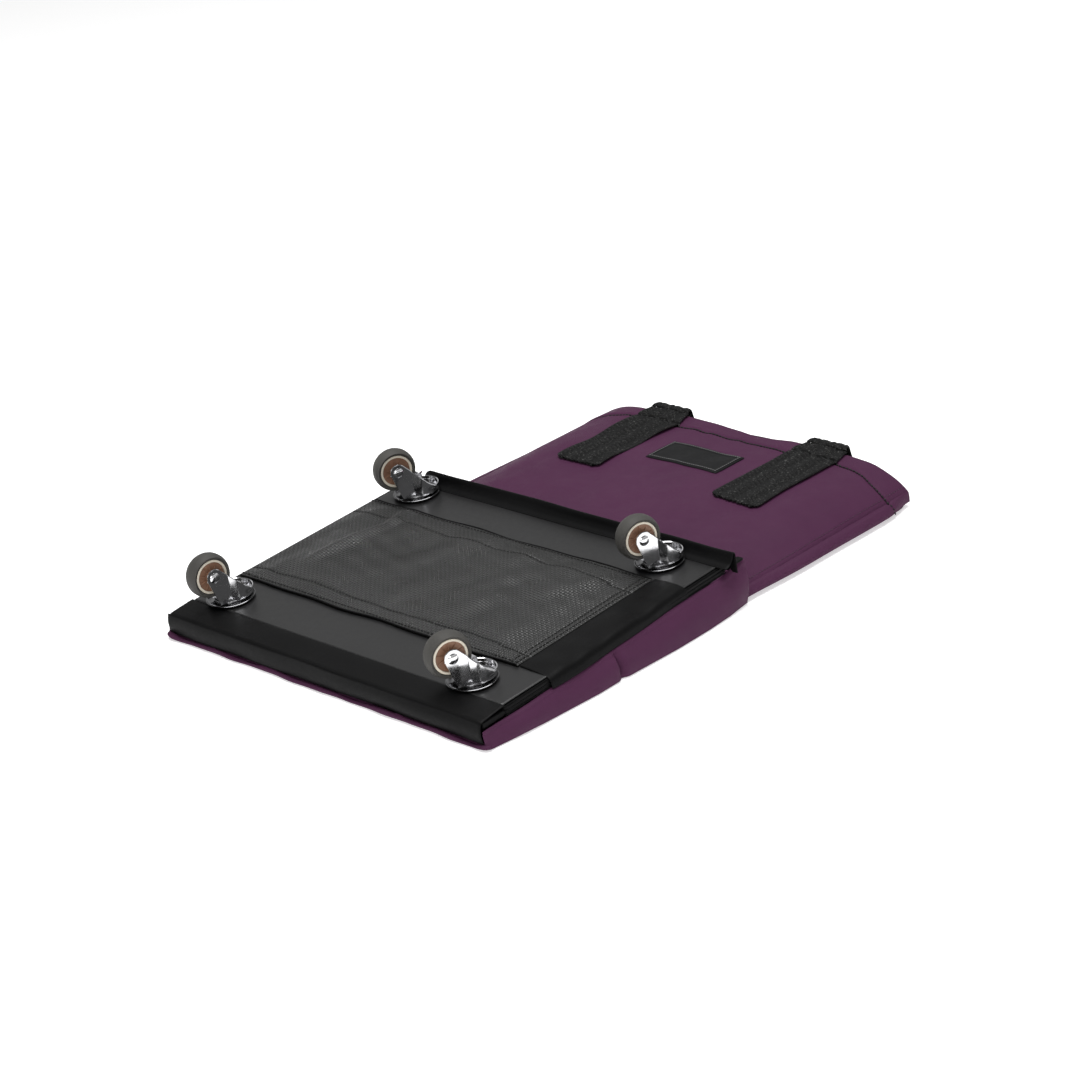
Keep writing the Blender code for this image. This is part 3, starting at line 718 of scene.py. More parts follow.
@dataclass(frozen=True)
class Coated:
    """Smooth coated sheet or moulded rubber: a plain colour with fine grain, dust and light scuffs."""

    name: str
    colour: tuple[float, float, float]
    worn: tuple[float, float, float]
    roughness: float
    grain_scale: float
    grain_depth: float
    scuff: float = 0.3
    specular: float = 0.5

    def build(self) -> bpy.types.Material:
        """Makes the material."""
        material, g, shader = new_graph(self.name)
        place = g.add("ShaderNodeTexCoord").outputs["Object"]
        broad = g.noise(place, 22.0, 5.0, 0.6)
        dust = g.ramp(broad, 0.45, 0.8, 0.0, self.scuff)
        g.fill(shader.inputs["Base Color"], g.mix(dust, (*self.colour, 1.0), (*self.worn, 1.0)))
        scratch = g.noise(place, 160.0, 4.0, 0.7)
        rough = g.math("ADD", g.ramp(scratch, 0.3, 0.75, self.roughness - 0.04, self.roughness + 0.07),
                       g.math("MULTIPLY", dust, 0.15))
        g.fill(shader.inputs["Roughness"], rough)
        g.fill(shader.inputs["Specular IOR Level"], self.specular)
        grain = g.noise(place, self.grain_scale, 3.0)
        wave = g.math("ADD", grain, g.math("MULTIPLY", g.noise(place, 35.0, 2.0), 0.5))
        bump = g.add("ShaderNodeBump", Strength=1.0, Distance=self.grain_depth, Height=wave)
        g.fill(shader.inputs["Normal"], bump.outputs[0])
        return material


@dataclass(frozen=True)
class Plated:
    """Bright plated steel with faint haze and tiny pits."""

    name: str
    colour: tuple[float, float, float] = (0.80, 0.80, 0.82)
    roughness: float = 0.10
    haze: float = 0.55

    def build(self) -> bpy.types.Material:
        """Makes the material."""
        material, g, shader = new_graph(self.name)
        place = g.add("ShaderNodeTexCoord").outputs["Object"]
        haze = g.noise(place, 90.0, 4.0, 0.65)
        tone = g.mix(g.ramp(haze, 0.35, 0.7, 0.0, 0.35), (*self.colour, 1.0), grey(self.haze))
        g.fill(shader.inputs["Base Color"], tone)
        g.fill(shader.inputs["Metallic"], 1.0)
        g.fill(shader.inputs["Roughness"],
               g.ramp(haze, 0.3, 0.75, self.roughness - 0.03, self.roughness + 0.10))
        bump = g.add("ShaderNodeBump", Strength=0.2, Distance=0.00002, Height=g.noise(place, 300.0, 2.0))
        g.fill(shader.inputs["Normal"], bump.outputs[0])
        return material


@dataclass(frozen=True)
class Fibre:
    """Coarse yarn or sewing thread, with lighter flecks painted into its colour as glints of shiny single
    fibres on top.
    """

    name: str
    dark: tuple[float, float, float]
    # Colour of the painted glints of shiny fibres.
    light: tuple[float, float, float]
    roughness: float = 0.6
    # Share of the painted glint colour at the brightest flecks.
    painted_glints: float = 1.0
    specular: float = 0.4

    def build(self) -> bpy.types.Material:
        """Makes the material."""
        material, g, shader = new_graph(self.name)
        place = g.add("ShaderNodeTexCoord").outputs["Object"]
        speck = g.noise(place, 520.0, 2.0, 0.7)
        # Painted highlight: lighter flecks stand in for glints of shiny fibres; the lower roughness there
        # is real.
        share = g.ramp(speck, 0.60, 0.74, 0.0, self.painted_glints)
        g.fill(shader.inputs["Base Color"], g.mix(share, (*self.dark, 1.0), (*self.light, 1.0)))
        g.fill(shader.inputs["Roughness"], g.ramp(speck, 0.4, 0.7, self.roughness, self.roughness - 0.22))
        g.fill(shader.inputs["Specular IOR Level"], self.specular)
        bump = g.add("ShaderNodeBump", Strength=0.8, Distance=0.0003, Height=g.noise(place, 1100.0, 2.0))
        g.fill(shader.inputs["Normal"], bump.outputs[0])
        return material


class Finishes:
    """Every material of the bag, made once."""

    def __init__(self) -> None:
        self.purple = Woven("purple_cloth", (0.070, 0.021, 0.055), (0.084, 0.026, 0.065), pitch=0.0011,
                            depth=0.00010, roughness=0.60, specular=0.10).build()
        self.sleeve = Woven("woven_strips", (0.015, 0.015, 0.0145), (0.022, 0.022, 0.021), pitch=0.0031,
                            depth=0.00060, roughness=0.30, specular=0.50, contrast=0.45).build()
        self.rail = Coated("rail_coat", (0.0065, 0.0065, 0.0068), (0.012, 0.012, 0.012), roughness=0.36,
                           grain_scale=900.0, grain_depth=0.00002).build()
        self.vinyl = Coated("black_vinyl", (0.0040, 0.0040, 0.0042), (0.007, 0.007, 0.007), roughness=0.46,
                            grain_scale=700.0, grain_depth=0.00005, specular=0.07).build()
        self.label = Coated("label_patch", (0.006, 0.006, 0.0065), (0.010, 0.010, 0.010), roughness=0.5,
                            grain_scale=900.0, grain_depth=0.00008, specular=0.12).build()
        self.tyre = Coated("tyre_rubber", (0.052, 0.050, 0.046), (0.085, 0.082, 0.075), roughness=0.62,
                           grain_scale=600.0, grain_depth=0.00008, scuff=0.6, specular=0.3).build()
        self.rim = Coated("rim_ring", (0.72, 0.66, 0.55), (0.60, 0.54, 0.45), roughness=0.42,
                          grain_scale=500.0, grain_depth=0.00003).build()
        self.hub = Coated("hub_plastic", (0.235, 0.125, 0.078), (0.30, 0.18, 0.12), roughness=0.48,
                          grain_scale=350.0, grain_depth=0.0001).build()
        self.chrome = Plated("plated_steel").build()
        self.dark_plate = Plated("dark_plated_steel", (0.17, 0.17, 0.175), roughness=0.16,
                                 haze=0.12).build()
        # Yarn and threads: painted glints lighten their colour in small flecks.
        self.webbing = Fibre("webbing_yarn", (0.0045, 0.0045, 0.0045), (0.16, 0.16, 0.15), roughness=0.66,
                             painted_glints=0.6, specular=0.14).build()
        self.thread = Fibre("black_thread", (0.0035, 0.0035, 0.0035), (0.010, 0.010, 0.010), roughness=0.7,
                            painted_glints=0.4).build()
        self.plum_thread = Fibre("plum_thread", (0.045, 0.014, 0.036), (0.080, 0.030, 0.065),
                                 painted_glints=0.5).build()
        self.grey_thread = Fibre("grey_thread", (0.16, 0.16, 0.16), (0.32, 0.32, 0.31), painted_glints=0.6).build()


# ---------------------------------------------------------------- pieces
class Workshop:
    """Adds finished pieces to the scene and counts them."""

    def __init__(self, layout: Layout, finishes: Finishes) -> None:
        self.layout = layout
        self.finishes = finishes
        self.stitches = StitchKit()
        self.count = 0

    def add(self, name: str, mesh: bpy.types.Mesh, material: bpy.types.Material, body: Body | str | None,
            replaces: Sequence[str] = (), slot: str = "", place: Matrix | None = None) -> bpy.types.Object:
        """Adds a piece with its place in its mesh.

        Args:
            name: Name of the piece.
            mesh: Its mesh, in the coordinates that place starts from.
            material: Its finish.
            body: The body it rides on, or None for a piece that bends between two.
            replaces: CAD nodes it stands for.
            slot: Not used.
            place: From the mesh's coordinates to the shared frame.

        Returns:
            The piece.
        """
        if place is not None:
            mesh.transform(place)
        mesh.name = name
        mesh.materials.clear()
        mesh.materials.append(material)
        piece = bpy.data.objects.new(name, mesh)
        bpy.context.scene.collection.objects.link(piece)
        if body is not None:
            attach(piece, body.value if isinstance(body, Body) else body)
        if replaces:
            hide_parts(*replaces)
        self.count += 1
        return piece

    def stitch(self, name: str, lines: Sequence[np.ndarray], material: bpy.types.Material,
               body: Body | str | None, place: Matrix, **sizes: float) -> bpy.types.Object:
        """Adds rows of stitches along several lines.

        Args:
            name: Name of the piece.
            lines: Points of each line, in the coordinates that place starts from.
            material: Thread material.
            body: The body the stitches ride on.
            place: From the lines' coordinates to the shared frame.
            sizes: Pitch, length and radius, where they aren't the usual ones.

        Returns:
            The piece.
        """
        turned = np.array(place)
        ready = [line @ turned[:3, :3].T + turned[:3, 3] for line in lines]
        mesh = self.stitches.rows(name, ready, material, **sizes)
        return self.add(name, mesh, material, body)


@dataclass
class BagBody:
    """The soft bag: front and back panels, gussets, hems and label."""

    shop: Workshop
    cell: float = 0.004
    thickness: float = 0.0016
    crease: float = 0.2215
    label_size: tuple[float, float] = (0.100, 0.048)
    label_from_mouth: float = 0.088
    gusset_seam: float = 0.614
    gusset_tuck: float = 0.1740

    def build(self) -> None:
        """Builds every piece of the bag body."""
        self.front_panel()
        self.back_panel()
        self.mouth_hems()
        self.bottom_hem()
        for side in Side:
            self.upper_gusset(side)
            self.lower_gusset(side)
        self.label()
        self.tucked_folds()

    def cloth(self, name: str, grid: np.ndarray, thickness: float, body: Body | None = Body.BAG,
              place: Matrix | None = None) -> bpy.types.Object:
        """Adds a purple sheet that stands for the CAD node of the same name.

        Args:
            name: Name of the CAD node.
            grid: Upper face of the sheet.
            thickness: Thickness of the sheet.
            body: The body it rides on, or None where it bends between two.
            place: From the grid's coordinates to the shared frame, if it isn't the bag's.

        Returns:
            The sheet.
        """
        return self.shop.add(name + "_cloth", sheet_mesh(name, grid, thickness), self.shop.finishes.purple,
                             body, [name], "purple", place or self.shop.layout.bag())

    def hem_line(self, x: np.ndarray) -> np.ndarray:
        """How far up the bag the hem seam runs; it dips towards the corners."""
        layout = self.shop.layout
        dip = 0.014 * ease((np.abs(x) - 0.160) / 0.058) + 0.0008 * Ripple(7, 0.05)(x, x * 0)
        return layout.bag_length - layout.mouth_hem - dip

    def front_height(self, x: np.ndarray, y: np.ndarray) -> np.ndarray:
        """Height of the front panel with its folds, hem step and small wrinkles."""
        layout = self.shop.layout
        edge = np.abs(x) / layout.half_width
        soft = 1 - ease((edge - 0.80) / 0.20)
        height = layout.crown(x, y)
        height = height + 0.0011 * Ripple(3, 0.16)(x, y) * soft + 0.0004 * Ripple(4, 0.045)(x, y) * soft
        height = height + 0.0012 * ridge(x, y, (0.20, 0.60), (0.10, 0.40), 0.010)
        height = height + 0.0012 * ridge(x, y, (-0.19, 0.56), (-0.10, 0.40), 0.012)
        line = self.hem_line(x)
        step = ease((y - line) / 0.003)
        groove = np.exp(-(((y - line) / 0.0020) ** 2))
        phase = x / 0.0065 + 2 * Ripple(9, 0.09)(x, x * 0)
        puckers = 0.0007 * np.sin(phase) * np.exp(-(((y - line) / 0.010) ** 2))
        return height + 0.0012 * step - 0.0020 * groove + puckers * soft

    def front_panel(self) -> None:
        """Front panel, from under the far band to the mouth."""
        layout = self.shop.layout
        columns = int(2 * self.crease / self.cell)
        rows = int((layout.bag_length - layout.base_depth) / self.cell * 2.4)
        x, y = np.meshgrid(np.linspace(-self.crease, self.crease, columns),
                           np.linspace(layout.base_depth + 0.003, layout.bag_length, rows))
        run = ease((y - 0.60) / 0.05)
        y = y + run * 0.0022 * Ripple(8, 0.12)(x, x * 0)
        grid = np.stack([x, y, self.front_height(x, y)], axis=2)
        piece = self.cloth("front_panel", grid, self.thickness)

    def back_panel(self) -> None:
        """Back panel, flat on the floor apart from small waves."""
        layout = self.shop.layout
        x, y = np.meshgrid(np.linspace(-layout.half_width, layout.half_width, 90),
                           np.linspace(-0.001, layout.bag_length, 120))
        wave = 0.0003 * Ripple(12, 0.10)(x, y)
        reach = np.clip((y - (layout.bag_length - 0.025)) / 0.025, 0, 1)
        x = x * (1 - 0.075 * (1 - np.sqrt(1 - reach**2)))
        grid = np.stack([x, y, 0.0042 + wave], axis=2)
        piece = self.cloth("back_panel", grid, 0.0015)

    def mouth_hems(self) -> None:
        """Turned hems inside the mouth and the stitched line over them."""
        layout = self.shop.layout
        x, y = np.meshgrid(np.linspace(-0.185, 0.185, 80),
                           np.linspace(layout.bag_length - layout.mouth_hem, layout.bag_length - 0.001, 8))
        grid = np.stack([x, y, self.front_height(x, y) - self.thickness - 0.0006], axis=2)
        piece = self.cloth("front_mouth_hem", grid, 0.001)
        x, y = np.meshgrid(np.linspace(-0.070, 0.070, 30),
                           np.linspace(layout.bag_length - layout.mouth_hem, layout.bag_length - 0.001, 8))
        grid = np.stack([x, y, x * 0 + 0.0058], axis=2)
        piece = self.cloth("back_mouth_hem", grid, 0.001)
        xs = np.linspace(-self.crease, self.crease, 200)
        ys = self.hem_line(xs)
        line = np.stack([xs, ys, self.front_height(xs, ys) + 0.0012], axis=1)
        self.shop.stitch("mouth_seam", [line], self.shop.finishes.thread, Body.BAG, layout.bag(),
                         pitch=0.0046, length=0.0044, radius=0.0010)
        creases = []
        for side in Side:
            ys = np.linspace(layout.base_depth + 0.016, layout.bag_length - 0.003, 120)
            xs = np.full_like(ys, side.value * (self.crease - 0.004))
            creases.append(np.stack([xs, ys, self.front_height(xs, ys) + 0.0002], axis=1))
        self.shop.stitch("crease_seams", creases, self.shop.finishes.plum_thread, Body.BAG, layout.bag(),
                         pitch=0.0040, length=0.0030, radius=0.0005)

    def bottom_hem(self) -> None:
        """Rolled hem along the bottom edge, with its ears at the two corners."""
        layout = self.shop.layout
        xs = np.linspace(-0.2315, 0.2335, 140)
        angles = np.linspace(0, 2 * math.pi, 16, endpoint=False)
        share = np.abs(xs - 0.001) / 0.2325
        ear = ease((share - 0.90) / 0.08)
        height = 0.0026 + 0.0019 * ear + 0.0005 * Ripple(21, 0.09)(xs, xs * 0)
        reach = 0.0055 + 0.0022 * ear + 0.0009 * Ripple(22, 0.07)(xs, xs * 0)
        taper = np.sqrt(np.clip(1 - share**40, 0.02, 1))
        rings = []
        for x, h, r, t in zip(xs, height, reach, taper):
            y = -0.0012 + np.cos(angles) * r * t
            z = h + np.sin(angles) * h * t
            z = np.where((y > -0.003) & (abs(x) < 0.226), np.minimum(z, 0.0024), z)
            rings.append(np.stack([np.full_like(angles, x), y, np.maximum(z, 0.0)], axis=1))
        grid = np.array(rings)
        sides = len(angles)
        uv = np.stack([np.repeat(xs, sides), np.tile(angles * 0.004, len(xs))], axis=1)
        mesh = mesh_from("bottom_hem_cloth", grid.reshape(-1, 3), ring_faces(len(xs), sides), uv, 80.0)
        self.shop.add("bottom_hem_cloth", mesh, self.shop.finishes.purple, Body.BAG, ["bottom_hem"],
                      "purple", layout.bag())

    @staticmethod
    def squeeze(y: float) -> float:
        """Share of its reach past the crease that the upper gusset keeps, less near the mouth."""
        return 1 - 0.80 * ease((y - 0.60) / 0.05)

    def upper_gusset(self, side: Side) -> None:
        """Side gusset beyond the base: a band at the side that folds in between the panels."""
        layout = self.shop.layout
        knots = np.array([(0.2160, 0.0088), (0.2205, 0.0112), (0.2262, 0.0106), (0.2305, 0.0080),
                          (0.2312, 0.0054), (0.2280, 0.0048), (0.2000, 0.0050), (0.1400, 0.0056),
                          (0.0800, 0.0066), (0.0755, 0.0078), (0.0800, 0.0092), (0.1400, 0.0096),
                          (0.2050, 0.0088), (0.2150, 0.0092)])
        spots = distances(knots)
        rows = 75
        ys = np.linspace(layout.base_depth + 0.012, layout.bag_length - 0.0005, rows)
        fine = np.sort(np.concatenate([np.linspace(0, spots[5], 26),
                                       np.linspace(spots[5], spots[-1], 40)[1:]]))
        xs = smoothed(np.interp(fine, spots, knots[:, 0]), 1)
        zs = np.interp(fine, spots, knots[:, 1])
        grid = np.zeros((rows, len(fine), 3))
        swell = Ripple(31 + side.value, 0.11)
        edge = self.front_height(np.full_like(ys, self.crease), ys)
        share = np.clip((zs - 0.0054) / 0.0058, 0, 1) * (fine < spots[4])
        for index, y in enumerate(ys):
            out = ease((xs - 0.222) / 0.008) * (0.0022 * swell(y, 0.0) + 0.0012)
            past = np.where(xs > self.crease, (xs + out - self.crease) * self.squeeze(y) + self.crease, xs)
            grid[index, :, 0] = side.value * past
            grid[index, :, 1] = y
            grid[index, :, 2] = zs + share * (edge[index] - 0.0116)
        piece = self.cloth("upper_gusset_" + side.word, grid, 0.0008)
        squeeze = self.squeeze(self.gusset_seam)
        top = float(self.front_height(np.array([self.crease]), np.array([self.gusset_seam]))[0])
        seam = np.array([(self.crease, top), (self.crease + 0.0055 * squeeze, top - 0.0008),
                         (self.crease + 0.0095 * squeeze, 0.0105),
                         (self.crease + 0.0112 * squeeze, 0.0060)])
        line = np.stack([side.value * seam[:, 0], np.full(len(seam), self.gusset_seam), seam[:, 1]], axis=1)
        self.shop.stitch("gusset_seam_" + side.word, [line], self.shop.finishes.thread, Body.BAG,
                         layout.bag(), pitch=0.0036, length=0.0034, radius=0.0008)

    def gusset_outline(self, y: np.ndarray) -> np.ndarray:
        """How far the lower gusset stands out at the floor, in two lobes with a tuck between them."""
        outline = np.array([(-0.004, 0.229), (0.0, 0.232), (0.030, 0.235), (0.070, 0.238), (0.138, 0.2408),
                            (0.168, 0.2398), (self.gusset_tuck, 0.2362), (0.180, 0.2398), (0.252, 0.2415),
                            (0.300, 0.240), (0.335, 0.237), (0.352, 0.234), (0.368, 0.2315)])
        return np.interp(y, outline[:, 0], outline[:, 1])

    def lower_gusset(self, side: Side) -> None:
        """Side gusset beside the base, which opens with it on the real bag; the piece here rides on no
        body.
        """
        layout = self.shop.layout
        rows, columns = 150, 34
        ys = np.linspace(-0.003, 0.3675, rows)
        outer = self.gusset_outline(ys)
        rise = layout.fold_height + (layout.base_top - layout.skirt - 0.0006) + ys * math.tan(layout.lean)
        top_x = 0.2262 + 0.0005 * Ripple(41, 0.05)(ys, ys * 0)
        far = ease((ys - 0.338) / 0.030)
        grid = np.zeros((rows, columns, 3))
        wrinkle = Ripple(43 + side.value, 0.060, stretch=(1.0, 0.35))
        hem, hem_height, inner = 0.18, 0.0012, 0.2245
        for index, y in enumerate(ys):
            floor = np.array([outer[index], hem_height])
            top = np.array([top_x[index] + 0.0035 * far[index], rise[index] + 0.0085 * far[index]])
            t = np.linspace(0, 1, columns)
            up = np.clip((t - hem) / (1 - hem), 0, 1)
            belly = np.sin(np.pi * up) ** 0.8
            near = ease(y / 0.05)
            x = floor[0] + (top[0] - floor[0]) * up + 0.0042 * belly * near
            z = floor[1] + (top[1] - floor[1]) * up**0.92
            under = t < hem
            x[under] = inner + (floor[0] - inner) * (t[under] / hem)
            z[under] = 0.0046 * (1 - ease(t[under] / hem)) + hem_height * ease(t[under] / hem)
            tuck = np.exp(-(((y - self.gusset_tuck) / 0.0026) ** 2))
            x = x - 0.0055 * tuck * belly + 0.0010 * np.exp(-(((t - 0.93) / 0.05) ** 2))
            x = x + 0.0008 * wrinkle(y, z * 4) * belly
            grid[index] = np.stack([side.value * x, np.full(columns, y), z], axis=1)
        piece = self.cloth("lower_gusset_" + side.word, grid, 0.0012, None)
        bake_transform(piece)

    def label(self) -> None:
        """Blank sewn label with a raised border."""
        layout = self.shop.layout
        half_x, half_y = self.label_size[0] / 2, self.label_size[1] / 2
        middle = layout.bag_length - self.label_from_mouth
        x, y = np.meshgrid(np.linspace(-half_x, half_x, 60),
                           np.linspace(middle - half_y, middle + half_y, 30))
        inset = np.minimum(half_x - np.abs(x), half_y - np.abs(y - middle))
        border = np.exp(-(((inset - 0.0035) / 0.0012) ** 2))
        grid = np.stack([x, y, self.front_height(x, y) + 0.0014 + 0.0004 * border], axis=2)
        self.shop.add("label_cloth", sheet_mesh("label", grid, 0.0011), self.shop.finishes.label, Body.BAG,
                      ["label_patch"], "label", layout.bag())
        frame_in = 0.0032
        corners = rectangle((-half_x + frame_in, half_x - frame_in),
                            (middle - half_y + frame_in, middle + half_y - frame_in))
        lines = []
        for start, end in zip(corners, corners[1:] + corners[:1]):
            xs = np.linspace(start[0], end[0], 30)
            ys = np.linspace(start[1], end[1], 30)
            lines.append(np.stack([xs, ys, self.front_height(xs, ys) + 0.0020], axis=1))
        self.shop.stitch("label_stitches", lines, self.shop.finishes.grey_thread, Body.BAG, layout.bag(),
                         pitch=0.0030, length=0.0024, radius=0.00055)

    def tucked_folds(self) -> None:
        """The two folds of the front panel under the base, each a soft sheet with a rolled fold end."""
        layout = self.shop.layout
        half, length = 0.205, 0.172
        for name, body, base, hinge, slope, bend in (
                ("tucked_fold_upper", Body.TUCK_UPPER, True, (0.348, 0.0125), 0.0045 / 0.175, -1),
                ("tucked_fold_lower", Body.TUCK_LOWER, False, (0.3505, 0.0285), 0.021 / 0.175, 1)):
            x, s = np.meshgrid(np.linspace(-half, half, 70), np.linspace(0.001, length, 50))
            curl = np.clip((s - (length - 0.010)) / 0.010, 0, 1)
            z = hinge[1] - s * slope - 0.0004 + 0.0005 * Ripple(51 + bend, 0.07)(x, s) * ease(s / 0.02)
            z = z + bend * 0.0036 * curl**2 - 0.0003
            grid = np.stack([x, hinge[0] - s + 0.0015 * curl**2, z], axis=2)
            place = layout.base() if base else layout.bag()
            piece = self.cloth(name, grid, 0.0014, body, place)


def webbing_relief(u: np.ndarray, v: np.ndarray, width: float) -> np.ndarray:
    """Relief of coarse herringbone webbing with thick selvedges.

    Args:
        u: Places across the webbing, from its middle.
        v: Places along it.
        width: Width of the webbing.

    Returns:
        The relief at each place, from 0 to 1.
    """
    column, strand_pitch, selvedge_width = 0.01033, 0.0062, 0.0030
    place = (u + width / 2) / column
    number = np.floor(place)
    across = place - number
    lean = np.where(number % 2 < 0.5, 1.0, -1.0)
    strand = np.abs(np.sin(np.pi * (v / strand_pitch + lean * (across - 0.5))))
    bundle = np.sqrt(np.clip(1 - (2 * across - 1) ** 2, 0, 1))
    selvedge = np.clip((np.abs(u) - (width / 2 - selvedge_width)) / 0.001, 0, 1)
    return strand**0.7 * (0.35 + 0.65 * bundle) * (1 - selvedge) + selvedge * 0.8


@dataclass
class Straps:
    """The sewn straps and the two handles of coarse webbing."""

    shop: Workshop
    body: BagBody
    cell: float = 0.0009
    handle_cell: float = 0.0011
    thickness: float = 0.0021
    relief: float = 0.0017
    shoulder: float = 0.023
    bow: float = 0.024
    grip_width: float = 0.031

    def build(self) -> None:
        """Builds straps and handles."""
        for side in Side:
            self.front_strap(side)
            self.back_strap(side)
        self.front_handle()
        self.back_handle()

    def ribbon(self, name: str, path: np.ndarray, middle: float, widths: np.ndarray) -> bpy.types.Mesh:
        """Webbing along a (y, z) path.

        Args:
            name: Name of the mesh.
            path: Points of the path, in order.
            middle: X of the middle of the webbing.
            widths: Width at each point of the path.

        Returns:
            The webbing's mesh.
        """
        run = distances(path)
        rows = max(int(run[-1] / self.cell), 8)
        spots = np.linspace(0, run[-1], rows)
        ys, zs = (smoothed(np.interp(spots, run, path[:, axis]), 6) for axis in (0, 1))
        wide = np.interp(spots, run, widths)
        columns = int(widths.max() / self.cell)
        u = np.linspace(-0.5, 0.5, columns)
        dy, dz = np.gradient(ys), np.gradient(zs)
        size = np.hypot(dy, dz)
        normal = np.stack([-dz / size, dy / size], axis=1)
        grid = np.zeros((rows, columns, 3))
        for row in range(rows):
            across = u * wide[row]
            bump = webbing_relief(u * widths.max(), np.full(columns, spots[row]),
                                  widths.max()) * self.relief
            grid[row, :, 0] = middle + across
            grid[row, :, 1] = ys[row] + normal[row, 0] * bump
            grid[row, :, 2] = zs[row] + normal[row, 1] * bump
        return sheet_mesh(name, grid, self.thickness)

    def webbing(self, name: str, mesh: bpy.types.Mesh, body: Body = Body.BAG) -> bpy.types.Object:
        """Adds a piece of webbing that stands for the CAD node of the same name."""
        return self.shop.add(name + "_webbing", mesh, self.shop.finishes.webbing, body, [name], "webbing",
                             self.shop.layout.bag())

    def strap_path(self) -> np.ndarray:
        """Line of a front strap on the front panel, (y, z) of its upper base face."""
        layout = self.shop.layout
        ys = np.linspace(layout.bag_length - layout.strap_length, layout.bag_length + 0.0008, 160)
        x = np.full_like(ys, layout.strap_spacing / 2)
        return np.stack([ys, self.body.front_height(x, ys) + self.thickness + 0.0002], axis=1)

    def front_strap(self, side: Side) -> None:
        """Strap sewn on the front panel."""
        layout = self.shop.layout
        middle = side.value * layout.strap_spacing / 2
        path = self.strap_path()
        corner = 0.006
        start = np.clip(1 - (path[:, 0] - path[0, 0]) / corner, 0, 1)
        widths = layout.strap_width - 2 * corner * (1 - np.sqrt(1 - start**2))
        widths = widths - 0.008 * ease((path[:, 0] - layout.bag_length + 0.020) / 0.020)
        mesh = self.ribbon("strap", path, middle, widths)
        points = points_of(mesh)
        x = points[:, 0]
        centre = self.body.front_height(np.full_like(x, middle), points[:, 1])
        points[:, 2] += self.body.front_height(x, points[:, 1]) - centre
        set_points(mesh, points)
        piece = self.webbing("front_strap_" + side.word, mesh)

    def back_strap(self, side: Side) -> None:
        """Strap sewn on the underside."""
        layout = self.shop.layout
        middle = side.value * layout.strap_spacing / 2
        ys = np.linspace(layout.bag_length - layout.strap_length, layout.bag_length, 30)
        path = np.stack([ys, np.full_like(ys, 0.0021)], axis=1)
        mesh = self.ribbon("strap", path, middle, np.full(len(path), layout.strap_width))
        self.flatten(mesh, 0.0, 0.0024)
        piece = self.webbing("back_strap_" + side.word, mesh)

    @staticmethod
    def flatten(mesh: bpy.types.Mesh, low: float, high: float) -> None:
        """Presses a mesh between two heights."""
        points = points_of(mesh)
        points[:, 2] = np.clip(points[:, 2], low, high)
        set_points(mesh, points)

    def handle(self, name: str, rise: Callable[[np.ndarray], np.ndarray],
               inset: float = 0.0) -> bpy.types.Mesh:
        """One band: out from the right strap, round the bow of the grip and back to the left strap.

        Args:
            name: Name of the mesh.
            rise: Height of the middle line above the floor, from its distance past the mouth.
            inset: How much shorter the bow is than the full one.

        Returns:
            The handle's mesh.
        """
        layout = self.shop.layout
        half = layout.strap_spacing / 2
        out = np.linspace(0.0012, self.shoulder, 40)
        angle = np.linspace(0, math.pi / 2, 60)[1:]
        bow = self.bow - inset
        x = np.concatenate([np.full_like(out, half), half * np.cos(angle)])
        y = np.concatenate([out, self.shoulder + bow * np.sin(angle)])
        heading = np.concatenate([np.full_like(out, math.pi / 2),
                                  np.arctan2(bow * np.cos(angle), -half * np.sin(angle))])
        z = rise(y)
        wide = np.interp(y, [0.0, 0.010, 0.020, 0.028], [0.054, 0.044, 0.036, self.grip_width])
        line = np.stack([x, y + layout.bag_length, z], axis=1)
        across = np.stack([np.sin(heading), -np.cos(heading), 0 * heading], axis=1)
        mirror = np.array([-1.0, 1.0, 1.0])
        line = np.concatenate([line, line[-2::-1] * mirror])
        across = np.concatenate([across, across[-2::-1] * mirror])
        wide = np.concatenate([wide, wide[-2::-1]])
        run = distances(line)
        spots = np.linspace(0, run[-1], int(run[-1] / self.handle_cell))
        line = np.stack([np.interp(spots, run, line[:, axis]) for axis in range(3)], axis=1)
        across = np.stack([np.interp(spots, run, across[:, axis]) for axis in range(3)], axis=1)
        across /= np.linalg.norm(across, axis=1, keepdims=True)
        wide = np.interp(spots, run, wide)
        tangent = np.gradient(line, axis=0)
        normal = np.cross(across, tangent)
        normal /= np.linalg.norm(normal, axis=1, keepdims=True)
        columns = int(layout.strap_width / self.handle_cell)
        u = np.linspace(-0.5, 0.5, columns)
        grid = np.zeros((len(spots), columns, 3))
        for row, spot in enumerate(spots):
            flat = webbing_relief(u * wide[row], np.full(columns, spot), wide[row]) * self.relief
            grid[row] = line[row] + across[row] * (u * wide[row])[:, None] + normal[row] * flat[:, None]
        return sheet_mesh(name, grid, self.thickness)

    def front_handle(self) -> None:
        """Front handle: over the mouth edge and down to the floor behind it."""
        top = self.strap_path()[-1, 1]
        ys = [0.0, 0.004, 0.009, 0.014, 0.019, 0.024, 0.029, 0.034, 0.040, 0.1]
        zs = [top, top + 0.0020, top + 0.0020, top - 0.0020, 0.034, 0.0245, 0.0155, 0.0095, 0.0068, 0.0066]
        mesh = self.handle("front_handle_webbing", lambda y: np.interp(y, ys, zs))
        self.webbing("front_handle", mesh, Body.FRONT_HANDLE)

    def back_handle(self) -> None:
        """Back handle, flat on the floor under the front one."""
        mesh = self.handle("back_handle_webbing", lambda y: 0.0022 + 0 * y, 0.001)
        self.flatten(mesh, 0.0, 0.0038)
        self.webbing("back_handle", mesh, Body.BACK_HANDLE)


